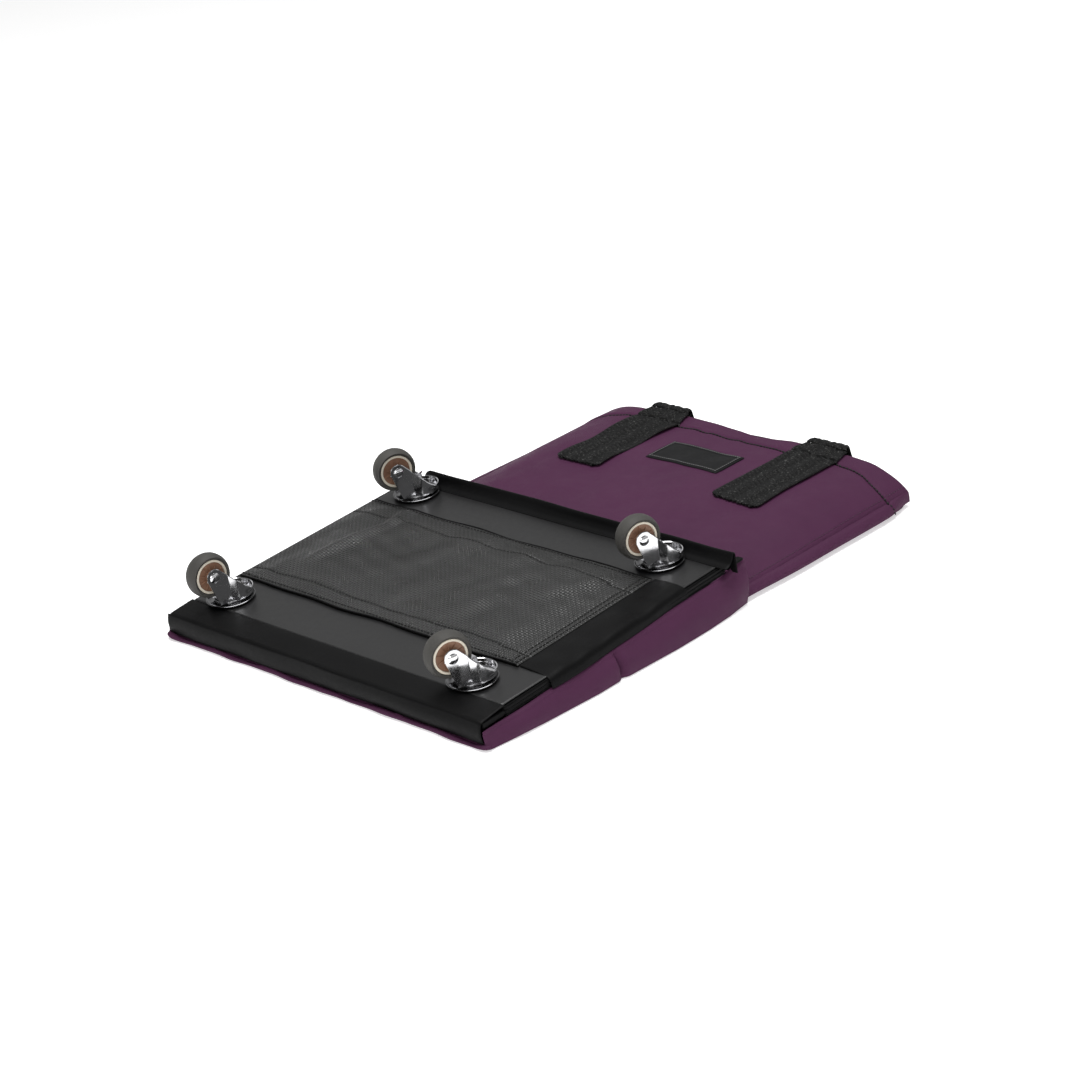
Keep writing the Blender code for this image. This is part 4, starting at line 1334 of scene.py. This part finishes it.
@dataclass
class Base:
    """The wheeled base: vinyl cover, rails, woven sleeve and bands, in base coordinates."""

    shop: Workshop
    near_rail: tuple[float, float] = (0.0315, 0.112)
    far_rail: tuple[float, float] = (0.262, 0.345)
    sleeve: tuple[float, float] = (0.0905, 0.285)
    sleeve_across: tuple[float, float] = (-0.2165, 0.1845)
    band: tuple[float, float] = (0.186, 0.2262)
    far_band_across: tuple[float, float] = (-0.203, 0.2355)
    strip_depth: float = 0.030
    strip_slope: float = 0.115
    near_seam: float = 0.0185
    far_seam: float = 0.031
    side_seam: float = 0.010
    edge_seam: float = 0.0035

    def build(self) -> None:
        """Builds every piece of the base."""
        self.cover()
        self.rails()
        self.woven_sleeve()
        self.side_band()
        self.far_band()

    def vinyl(self, name: str, mesh: bpy.types.Mesh, nodes: Sequence[str] = ()) -> bpy.types.Object:
        """Adds a piece of black vinyl, with the CAD nodes that it stands for."""
        return self.shop.add(name, mesh, self.shop.finishes.vinyl, Body.BASE, nodes, "black_vinyl",
                             self.shop.layout.base())

    def cover(self) -> None:
        """Vinyl cover, its near wall and the piping at its right end."""
        layout = self.shop.layout
        half = layout.half_width
        low, top = layout.base_top - layout.skirt, layout.base_top
        outline = rounded_profile(rectangle((-half, half), (self.strip_depth, layout.base_depth)), 0.004)
        outer = slab("outer", outline, low, top, 0.0012, 3)
        inner = rectangle((-half + 0.001, half - 0.001), (0.001, self.strip_depth + 0.002))
        block = slab("block", inner, low, 0.0204, 0.0006)
        self.vinyl("base_cover_vinyl", joined("cover", [outer, block]), ["base_cover", "base_board"])
        columns, rows = 160, 14
        x, t = np.meshgrid(np.linspace(-half - 0.0005, half + 0.0005, columns), np.linspace(0, 1, rows))
        crest = layout.rail_top - self.strip_depth * self.strip_slope
        z = 0.0012 + (crest - 0.0004) * t
        y = -0.0019 - 0.0018 * np.sin(np.pi * t) - 0.0006 * Ripple(61, 0.08)(x, z * 3)
        grid = np.stack([x, y, z], axis=2)
        piece = self.vinyl("near_wall_vinyl", sheet_mesh("wall", grid[::-1], 0.0010), ["near_wall"])
        x, y = np.meshgrid(np.linspace(-half, half - 0.001, 150),
                           np.linspace(-0.0012, self.strip_depth + 0.001, 26))
        slope = self.strip_slope * (self.strip_depth - y)
        z = layout.rail_top + 0.0007 - np.sqrt(slope**2 + 0.0006**2) - 0.0008 * ease((0.002 - y) / 0.003)
        z = z - 0.0012 * ease((-0.120 - x) / 0.060) * ease(y / 0.03) + 0.0003 * Ripple(63, 0.07)(x, y)
        grid = np.stack([x, y, z], axis=2)
        strip = self.vinyl("near_strip_vinyl", sheet_mesh("strip", grid, 0.0012))
        for number, height in enumerate((low + 0.0004, low + 0.0042)):
            ys = np.linspace(self.strip_depth, layout.base_depth, 60)
            line = np.stack([np.full_like(ys, half + 0.0003), ys, np.full_like(ys, height)], axis=1)
            self.vinyl(f"cover_piping_{number}", tube("piping", line, 0.0006))

    def rails(self) -> None:
        """Near and far rails."""
        shop = self.shop
        for name, along in (("near_rail", self.near_rail), ("far_rail", self.far_rail)):
            rows = int((along[1] - along[0]) / 0.0015)
            x, y = np.meshgrid(np.linspace(-0.2185, 0.2215, 130), np.linspace(*along, rows))
            z = shop.layout.rail_top + 0.00012 * Ripple(71, 0.14)(x, y)
            mesh = sheet_mesh(name, np.stack([x, y, z], axis=2), 0.0014)
            shop.add(name + "_plate", mesh, shop.finishes.rail, Body.BASE, [name], "rail_coat",
                     shop.layout.base())

    def sleeve_height(self, x: np.ndarray, y: np.ndarray) -> np.ndarray:
        """Height of the woven sleeve, with its creases and the steps at its hems."""
        near, far = self.sleeve
        left, right = self.sleeve_across
        inside = np.minimum(np.minimum(y - near, far - y) / 0.022, np.minimum(x - left, right - x) / 0.030)
        swell = 0.0062 * ease(inside * 0.5 + 0.2)
        z = self.shop.layout.rail_top + 0.0016 + swell
        z = z + (0.0016 * Ripple(81, 0.11)(x, y) + 0.0005 * Ripple(82, 0.035)(x, y)) * ease(inside)
        folds = (((-0.135, 0.275), (-0.172, 0.115), 0.0085, 0.0045),
                 ((0.030, 0.275), (0.085, 0.120), 0.018, 0.0042),
                 ((0.110, 0.290), (0.020, 0.130), 0.014, 0.0040),
                 ((0.095, 0.290), (0.060, 0.160), 0.016, -0.0036),
                 ((0.160, 0.270), (0.110, 0.190), 0.012, 0.0032),
                 ((-0.160, 0.287), (-0.140, 0.235), 0.009, 0.0046),
                 ((-0.060, 0.270), (-0.110, 0.130), 0.016, -0.0026))
        for start, end, width, height in folds:
            z = z + height * ridge(x, y, start, end, width)
        for line in (near + self.near_seam, far - self.far_seam):
            z = z - 0.0009 * np.exp(-(((y - line) / 0.0016) ** 2))
        z = z - 0.0007 * np.exp(-(((x - (right - self.side_seam)) / 0.0016) ** 2))
        return z

    def woven_sleeve(self) -> None:
        """Woven sleeve with its hems and seams."""
        shop = self.shop
        near, far = self.sleeve
        left, right = self.sleeve_across
        x, y = np.meshgrid(np.linspace(left, right, 260), np.linspace(near, far, 126))
        wave = 0.0012 * Ripple(85, 0.12)(x, x * 0)
        y = y + wave * (1 - 2 * (y - near) / (far - near))
        grid = np.stack([x, y, self.sleeve_height(x, y)], axis=2)
        place = shop.layout.base()
        piece = shop.add("middle_sleeve_cloth", sheet_mesh("sleeve", grid, 0.0014), shop.finishes.sleeve,
                         Body.BASE, ["middle_sleeve"], "woven_black", place)
        lines = []
        xs = np.linspace(left + 0.001, right - 0.004, 180)
        for spot in (near + self.near_seam, far - self.far_seam, near + self.edge_seam,
                     far - self.edge_seam):
            ys = np.full_like(xs, spot)
            lines.append(np.stack([xs, ys, self.sleeve_height(xs, ys) + 0.0002], axis=1))
        ys = np.linspace(near + 0.004, far - 0.004, 90)
        for spot in (right - self.edge_seam, right - self.side_seam):
            xs = np.full_like(ys, spot)
            lines.append(np.stack([xs, ys, self.sleeve_height(xs, ys) + 0.0002], axis=1))
        shop.stitch("sleeve_stitches", lines, shop.finishes.thread, Body.BASE, place, pitch=0.0046,
                    length=0.0038, radius=0.0009)
        for name, spot in (("near", near), ("far", far)):
            xs = np.linspace(left + 0.001, right - 0.001, 120)
            ys = spot + 0.0012 * Ripple(85, 0.12)(xs, xs * 0) * (1 if spot == near else -1)
            path = np.stack([xs, ys, self.sleeve_height(xs, np.full_like(xs, spot)) - 0.0004], axis=1)
            shop.add(f"sleeve_{name}_binding", tube("binding", path, 0.0011, 10), shop.finishes.vinyl,
                     Body.BASE, (), "woven_black", place)

    def side_band(self) -> None:
        """Smooth vinyl band beside the sleeve, which turns down over the side of the base."""
        layout = self.shop.layout
        rows = 120
        ys = np.linspace(0.0925, 0.2875, rows)
        knots = np.array([(self.band[0], layout.rail_top + 0.0016), (0.200, layout.rail_top + 0.0022),
                          (0.213, layout.rail_top + 0.0018), (0.2225, layout.rail_top + 0.0006),
                          (0.2268, layout.rail_top - 0.0028), (0.2275, layout.rail_top - 0.0110)])
        xs, zs = softened_line(knots, 36, 3)
        ripple, deep = Ripple(91, 0.09), Ripple(92, 0.05)
        share = np.linspace(0, 1, len(xs))
        grid = np.zeros((rows, len(xs), 3))
        for row, y in enumerate(ys):
            out = 0.0022 * ripple(y, 0.0) * share**2
            grid[row, :, 0] = xs + out
            grid[row, :, 1] = y + 0.002 * share * np.sign(y - 0.19)
            grid[row, :, 2] = zs + 0.0008 * deep(y, 0.0) * np.sin(np.pi * share)
        piece = self.vinyl("side_band_vinyl", sheet_mesh("band", grid, 0.0011), ["side_band"])

    def far_band(self) -> None:
        """Far edge band, standing up past the top of the base, with its corner tab."""
        layout = self.shop.layout
        left, right = self.far_band_across
        low, rail = layout.base_top - layout.skirt, layout.rail_top
        top = layout.base_top + 0.0152
        knots = np.array([(0.3375, rail + 0.0008), (0.3410, rail + 0.0012), (0.3445, rail + 0.0030),
                          (0.3472, rail + 0.0062), (0.3486, rail + 0.0098), (0.3492, top - 0.0020),
                          (0.3502, top - 0.0004), (0.3513, top), (0.3525, top - 0.0005),
                          (0.3534, top - 0.0025), (0.3540, rail), (0.3540, low)])
        ys, zs = softened_line(knots, 46, 2)
        columns = np.linspace(left, right, 180)
        round_end = np.sqrt(1 - np.clip((left + 0.012 - columns) / 0.012, 0, 1) ** 2)
        high = ease((zs - rail) / (top - rail))
        wave = Ripple(101, 0.11)(columns, columns * 0)
        x = np.repeat(columns[None, :], len(ys), axis=0)
        y = ys[:, None] + 0.0007 * Ripple(102, 0.12)(x, zs[:, None] * 2) * high[:, None]
        fall = (top - rail) * 0.9 * (1 - round_end)[None, :] * high[:, None]
        z = zs[:, None] - fall + 0.0006 * wave[None, :] * high[:, None]
        grid = np.stack([x, y, z], axis=2)
        piece = self.vinyl("far_band_vinyl", sheet_mesh("far_band", grid, 0.0011), ["far_band"])
        outline = rounded_profile(rectangle((0.2245, 0.2335), (0.3545, 0.3680)), 0.003)
        tab = slab("tab", outline, 0.0222, 0.0240, 0.0006)
        self.vinyl("corner_tab_vinyl", tab)


@dataclass
class Caster:
    """One swivel caster; its pieces are built about the kingpin and placed with a matrix."""

    shop: Workshop
    corner: str
    mount: Matrix
    yaw: float
    disc_radius: float = 0.0255
    axle_height: float = 0.0360
    trail: float = 0.0204
    wheel_radius: float = 0.0233
    wheel_width: float = 0.0180
    rim_radius: float = 0.0178
    arm_clearance: float = 0.0012
    sheet: float = 0.0014
    cup_low: float = 0.0046
    cup_rim: float = 0.0108
    cup_radius: float = 0.0180
    cup_centre: float = 0.0055
    foot: float = -0.0195
    end_radius: float = 0.0088
    tip_angle: float = math.radians(10)
    slope_angle: float = math.radians(40)
    rib_count: int = 10

    def build(self) -> None:
        """Builds every piece of the caster."""
        shop, corner = self.shop, self.corner
        finishes = shop.finishes
        swivel = self.mount @ Matrix.Rotation(math.radians(self.yaw), 4, "Z")
        reach = Matrix.Translation((0, -self.trail, self.axle_height))
        axis = swivel @ reach @ Matrix.Rotation(math.pi / 2, 4, "Y")
        turning, rolling = corner + "_swivel", corner + "_wheel"
        parts = (("disc", "plate", self.disc, finishes.dark_plate, Body.BASE, "chrome", self.mount),
                 ("race", "ring", self.race, finishes.dark_plate, Body.BASE, "chrome", self.mount),
                 ("kingpin", "rivet", self.kingpin, finishes.chrome, Body.BASE, "chrome", self.mount),
                 ("fork", "frame", self.fork, finishes.chrome, turning, "chrome", swivel),
                 ("axle", "pin", self.axle, finishes.chrome, turning, "chrome", axis),
                 ("tyre", "tread", self.tyre, finishes.tyre, rolling, "tyre", axis),
                 ("rim", "band", self.rim, finishes.rim, rolling, "rim_plastic", axis),
                 ("hub", "disc", self.hub, finishes.hub, rolling, "hub_plastic", axis))
        for node, form, make, finish, body, slot, place in parts:
            shop.add(f"{corner}_{node}_{form}", make(), finish, body, [f"{corner}_{node}"], slot, place)

    def disc(self) -> bpy.types.Mesh:
        """Mounting disc: a dished plate with a rolled lip."""
        r = self.disc_radius
        profile = [(0.0044, 0.0002), (r - 0.0030, 0.0002), (r - 0.0012, 0.0006), (r, 0.0022),
                   (r + 0.0001, 0.0030), (r - 0.0005, 0.0033), (r - 0.0011, 0.0028), (r - 0.0022, 0.0018),
                   (r - 0.0040, 0.0013), (0.0190, 0.0013), (0.0178, 0.0018), (0.0044, 0.0018)]
        return lathe("disc", profile, 96, sharp=50)

    def race(self) -> bpy.types.Mesh:
        """Ball race between the disc and the fork."""
        return lathe("race", rounded_profile([(0.0115, 0.0016), (0.0165, 0.0016), (0.0168, 0.0030),
                                              (0.0160, 0.0042), (0.0115, 0.0042)], 0.0006), 64)

    def kingpin(self) -> bpy.types.Mesh:
        """Kingpin rivet with its washer and domed head."""
        seat = self.cup_low + 0.0016
        profile = [(0.0, 0.0004), (0.0040, 0.0004), (0.0040, seat), (0.0082, seat), (0.0085, seat + 0.0008),
                   (0.0074, seat + 0.0012), (0.0064, seat + 0.0014), (0.0060, seat + 0.0024),
                   (0.0042, seat + 0.0036), (0.0018, seat + 0.0041), (0.0, seat + 0.0042)]
        return lathe("kingpin", profile, 48)

    def fork_edges(self, y: np.ndarray) -> tuple[np.ndarray, np.ndarray]:
        """Lower and upper edge of the fork's wall at places along the fork."""
        r, end = self.end_radius, -self.trail
        tip = end - r * math.cos(self.tip_angle)
        tip_z = self.axle_height - r * math.sin(self.tip_angle)
        low = self.cup_low + np.clip(self.foot - y, 0, 1) * (tip_z - self.cup_low) / (self.foot - tip)
        crest = self.axle_height + np.sqrt(np.clip(r**2 - (y - end) ** 2, 0, 1))
        top_y = end + r * math.cos(self.slope_angle)
        top_z = self.axle_height + r * math.sin(self.slope_angle)
        back = self.cup_centre + 0.009
        slope = np.interp(y, [top_y, back, 1.0], [top_z, self.cup_rim, self.cup_rim])
        high = np.where(y < top_y, crest, slope)
        return low, np.maximum(high, low + 0.0002)

    def fork(self) -> bpy.types.Mesh:
        """Fork: one pressed sheet with a floor, a round back and two arms that carry the axle."""
        half = self.wheel_width / 2 + self.arm_clearance + self.sheet
        tip = -self.trail - self.end_radius * math.cos(self.tip_angle)
        turn = np.linspace(0, math.pi / 2, 12)
        ys = np.concatenate([tip + (self.foot - tip) * (1 - np.cos(turn)),
                             np.linspace(self.foot, -0.0055, 14)[1:]])
        arm = np.stack([np.full_like(ys, half), ys], axis=1)
        angles = np.radians(np.linspace(-15, 90, 30))
        back = np.stack([self.cup_radius * np.cos(angles),
                         self.cup_centre + self.cup_radius * np.sin(angles)], axis=1)
        web = np.linspace(arm[-1], back[0], 9)[1:-1]
        plan = np.concatenate([arm, web, back])
        plan[15:-1] = (plan[14:-2] + 2 * plan[15:-1] + plan[16:]) / 4
        plan = np.concatenate([plan, plan[-2::-1] * (-1, 1)])
        low, high = self.fork_edges(plan[:, 1])
        levels = np.linspace(1, 0, 16)
        grid = np.zeros((len(plan), len(levels), 3))
        grid[..., 0] = plan[:, 0][:, None]
        grid[..., 1] = plan[:, 1][:, None]
        grid[..., 2] = low[:, None] + (high - low)[:, None] * levels[None, :]
        flare = np.clip(grid[..., 2] - self.cup_rim + 0.003, 0, 0.004) * 0.4
        flare = flare * ease((grid[..., 1] - 0.006) / 0.006)
        centre = np.array([0.0, self.cup_centre])
        away = plan - centre
        away /= np.linalg.norm(away, axis=1, keepdims=True)
        grid[..., :2] += away[:, None, :] * flare[..., None]
        wall = sheet_mesh("wall", grid, self.sheet)
        inner = [(x * 0.955, y) for x, y in plan if y > self.foot + 0.004]
        floor = slab("floor", inner, self.cup_low, self.cup_low + self.sheet, 0.0003)
        return joined("fork", [wall, floor], 40)

    def axle(self) -> bpy.types.Mesh:
        """Axle with a washer and a domed head at each end."""
        face = self.wheel_width / 2 + self.arm_clearance + self.sheet + 0.0001
        half = [(0.0024, 0.0), (0.0024, face), (0.0058, face), (0.0060, face + 0.0007),
                (0.0052, face + 0.0018), (0.0034, face + 0.0027), (0.0014, face + 0.0031),
                (0.0, face + 0.0032)]
        profile = [(r, -z) for r, z in reversed(half)] + half[1:]
        return lathe("axle", profile, 40)

    def tyre(self) -> bpy.types.Mesh:
        """Tyre with round shoulders and a shallow groove beside the rim."""
        half, radius, bed = self.wheel_width / 2, self.wheel_radius, self.rim_radius + 0.0001
        side = [(bed, half - 0.0016), (bed + 0.0006, half - 0.0009), (bed + 0.0016, half - 0.0002),
                (bed + 0.0028, half), (radius - 0.0024, half - 0.0012), (radius - 0.0010, half - 0.0030),
                (radius - 0.0002, half - 0.0056), (radius, half - 0.0080)]
        profile = side + [(r, -z) for r, z in reversed(side)]
        return lathe("tyre", profile, 96, sharp=60)

    def rim(self) -> bpy.types.Mesh:
        """Pale ring between hub and tyre."""
        half = self.wheel_width / 2 - 0.0010
        outer = self.rim_radius
        return lathe("rim", rounded_profile([(outer - 0.0024, -half), (outer, -half), (outer, half),
                                             (outer - 0.0024, half)], 0.0006), 80)

    def hub(self) -> bpy.types.Mesh:
        """Hub: a web with radial ribs, a bearing boss and a washer seat."""
        outer = self.rim_radius - 0.0025
        web = 0.0050
        boss = self.wheel_width / 2 - 0.0003
        body = lathe("hub", [(0.0027, -boss), (0.0052, -boss), (0.0058, -boss + 0.0006), (0.0062, -web),
                             (outer, -web - 0.0012), (outer, web + 0.0012), (0.0062, web),
                             (0.0058, boss - 0.0006), (0.0052, boss), (0.0027, boss)], 64)
        ribs = []
        for number in range(self.rib_count):
            turn = Matrix.Rotation(2 * math.pi * number / self.rib_count, 4, "Z")
            for face in (-1, 1):
                low, high = sorted((face * web * 0.9, face * (web + 0.0016)))
                bar = slab("rib", rectangle((0.0060, outer - 0.0002), (-0.0004, 0.0004)), low, high, 0.0)
                ribs.append(moved(bar, turn))
        return joined("hub", [body] + ribs)


def casters(shop: Workshop) -> None:
    """Builds the four casters in their corners."""
    layout = shop.layout
    yaws = {"near_left": -7.0, "near_right": -20.0, "far_left": -23.0, "far_right": -18.0}
    across = {"left": -0.186, "right": 0.164}
    along = {"near": 0.0507, "far": 0.3199}
    for corner, yaw in yaws.items():
        depth, side = corner.split("_")
        x, y = across[side], along[depth]
        mount = layout.base() @ Matrix.Translation((x, y, layout.rail_top))
        Caster(shop, corner, mount, yaw).build()


# ---------------------------------------------------------------- studio
@dataclass(frozen=True)
class Studio:
    """Pale floor, soft light and the camera."""

    layout: Layout
    focal: float = 92.1
    sensor: float = 36.0

    def build(self) -> None:
        """Adds floor, lights, world and camera."""
        self.floor()
        self.world()
        self.light("top", (-0.1, 0.1, 3.0), (0.0, 0.0, 0.0), 2.6, 105.0)
        self.light("front", (1.4, -2.2, 1.0), (0.0, 0.0, 0.05), 1.2, 14.0)
        self.camera()

    def floor(self) -> None:
        """Large pale floor."""
        mesh = bpy.data.meshes.new("floor")
        size = 12.0
        corners = [(x, y, 0) for x, y in rectangle((-size, size), (-size, size))]
        mesh.from_pydata(corners, [], [(0, 1, 2, 3)])
        plane = bpy.data.objects.new("floor", mesh)
        bpy.context.scene.collection.objects.link(plane)
        material, g, shader = new_graph("floor")
        g.fill(shader.inputs["Base Color"], grey(0.85))
        g.fill(shader.inputs["Emission Color"], grey(1.0))
        g.fill(shader.inputs["Emission Strength"], 0.50)
        g.fill(shader.inputs["Roughness"], 0.8)
        g.fill(shader.inputs["Specular IOR Level"], 0.1)
        mesh.materials.append(material)
        plane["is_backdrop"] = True

    def world(self) -> None:
        """Sky of a studio: a bright low band and a dimmer ceiling."""
        world = bpy.data.worlds.new("studio")
        bpy.context.scene.world = world
        world.use_nodes = True
        g = Graph(world.node_tree)
        place = g.add("ShaderNodeTexCoord").outputs["Generated"]
        parts = g.add("ShaderNodeSeparateXYZ", place)
        low_band = g.ramp(parts.outputs[2], 0.08, 0.24, 0.25, 0.62)
        level = g.math("MULTIPLY", low_band, g.ramp(parts.outputs[2], 0.50, 0.60, 1.0, 0.22))
        background = world.node_tree.nodes["Background"]
        g.fill(background.inputs["Color"], (1.0, 1.0, 1.0, 1.0))
        g.fill(background.inputs["Strength"], level)

    def light(self, name: str, where: Point, target: Point, size: float, power: float) -> None:
        """Adds a soft area light."""
        lamp = bpy.data.lights.new(name, "AREA")
        lamp.shape = "DISK"
        lamp.size = size
        lamp.energy = power
        thing = bpy.data.objects.new(name, lamp)
        bpy.context.scene.collection.objects.link(thing)
        thing.location = where
        thing.rotation_euler = (Vector(target) - Vector(where)).to_track_quat("-Z", "Y").to_euler()

    def camera(self) -> None:
        """Camera above and to the right of the folded base."""
        camera = bpy.data.cameras.new("camera")
        camera.lens = self.focal
        camera.sensor_width = self.sensor
        camera.dof.use_dof = False
        thing = bpy.data.objects.new("camera", camera)
        bpy.context.scene.collection.objects.link(thing)
        right, up, back = (0.7212, 0.6854, -0.1006), (-0.2055, 0.3503, 0.9138), (0.6615, -0.6384, 0.3935)
        turn = Matrix((right, up, back)).transposed().to_4x4()
        thing.matrix_world = Matrix.Translation((1.8963, -1.5156 + self.layout.y_shift, 1.1663)) @ turn
        bpy.context.scene.camera = thing


def note_size(label: str, sizes: dict[str, list]) -> None:
    """Keeps the bounds of what is shown, as plain numbers."""
    sizes[label] = [[float(value) for value in corner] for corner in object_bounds()]


def main() -> None:
    """Builds the looks of the whole bag."""
    logging.basicConfig(level=logging.INFO, format="%(message)s")
    sizes: dict[str, list] = {}
    note_size("loaded", sizes)
    layout = Layout()
    shop = Workshop(layout, Finishes())
    body = BagBody(shop)
    body.build()
    Straps(shop, body).build()
    Base(shop).build()
    casters(shop)
    Studio(layout).build()
    scene = bpy.context.scene
    scene.view_settings.view_transform = "Standard"
    note_size("built", sizes)
    LOG.info("%d pieces", shop.count)


if __name__ == "__main__":
    main()
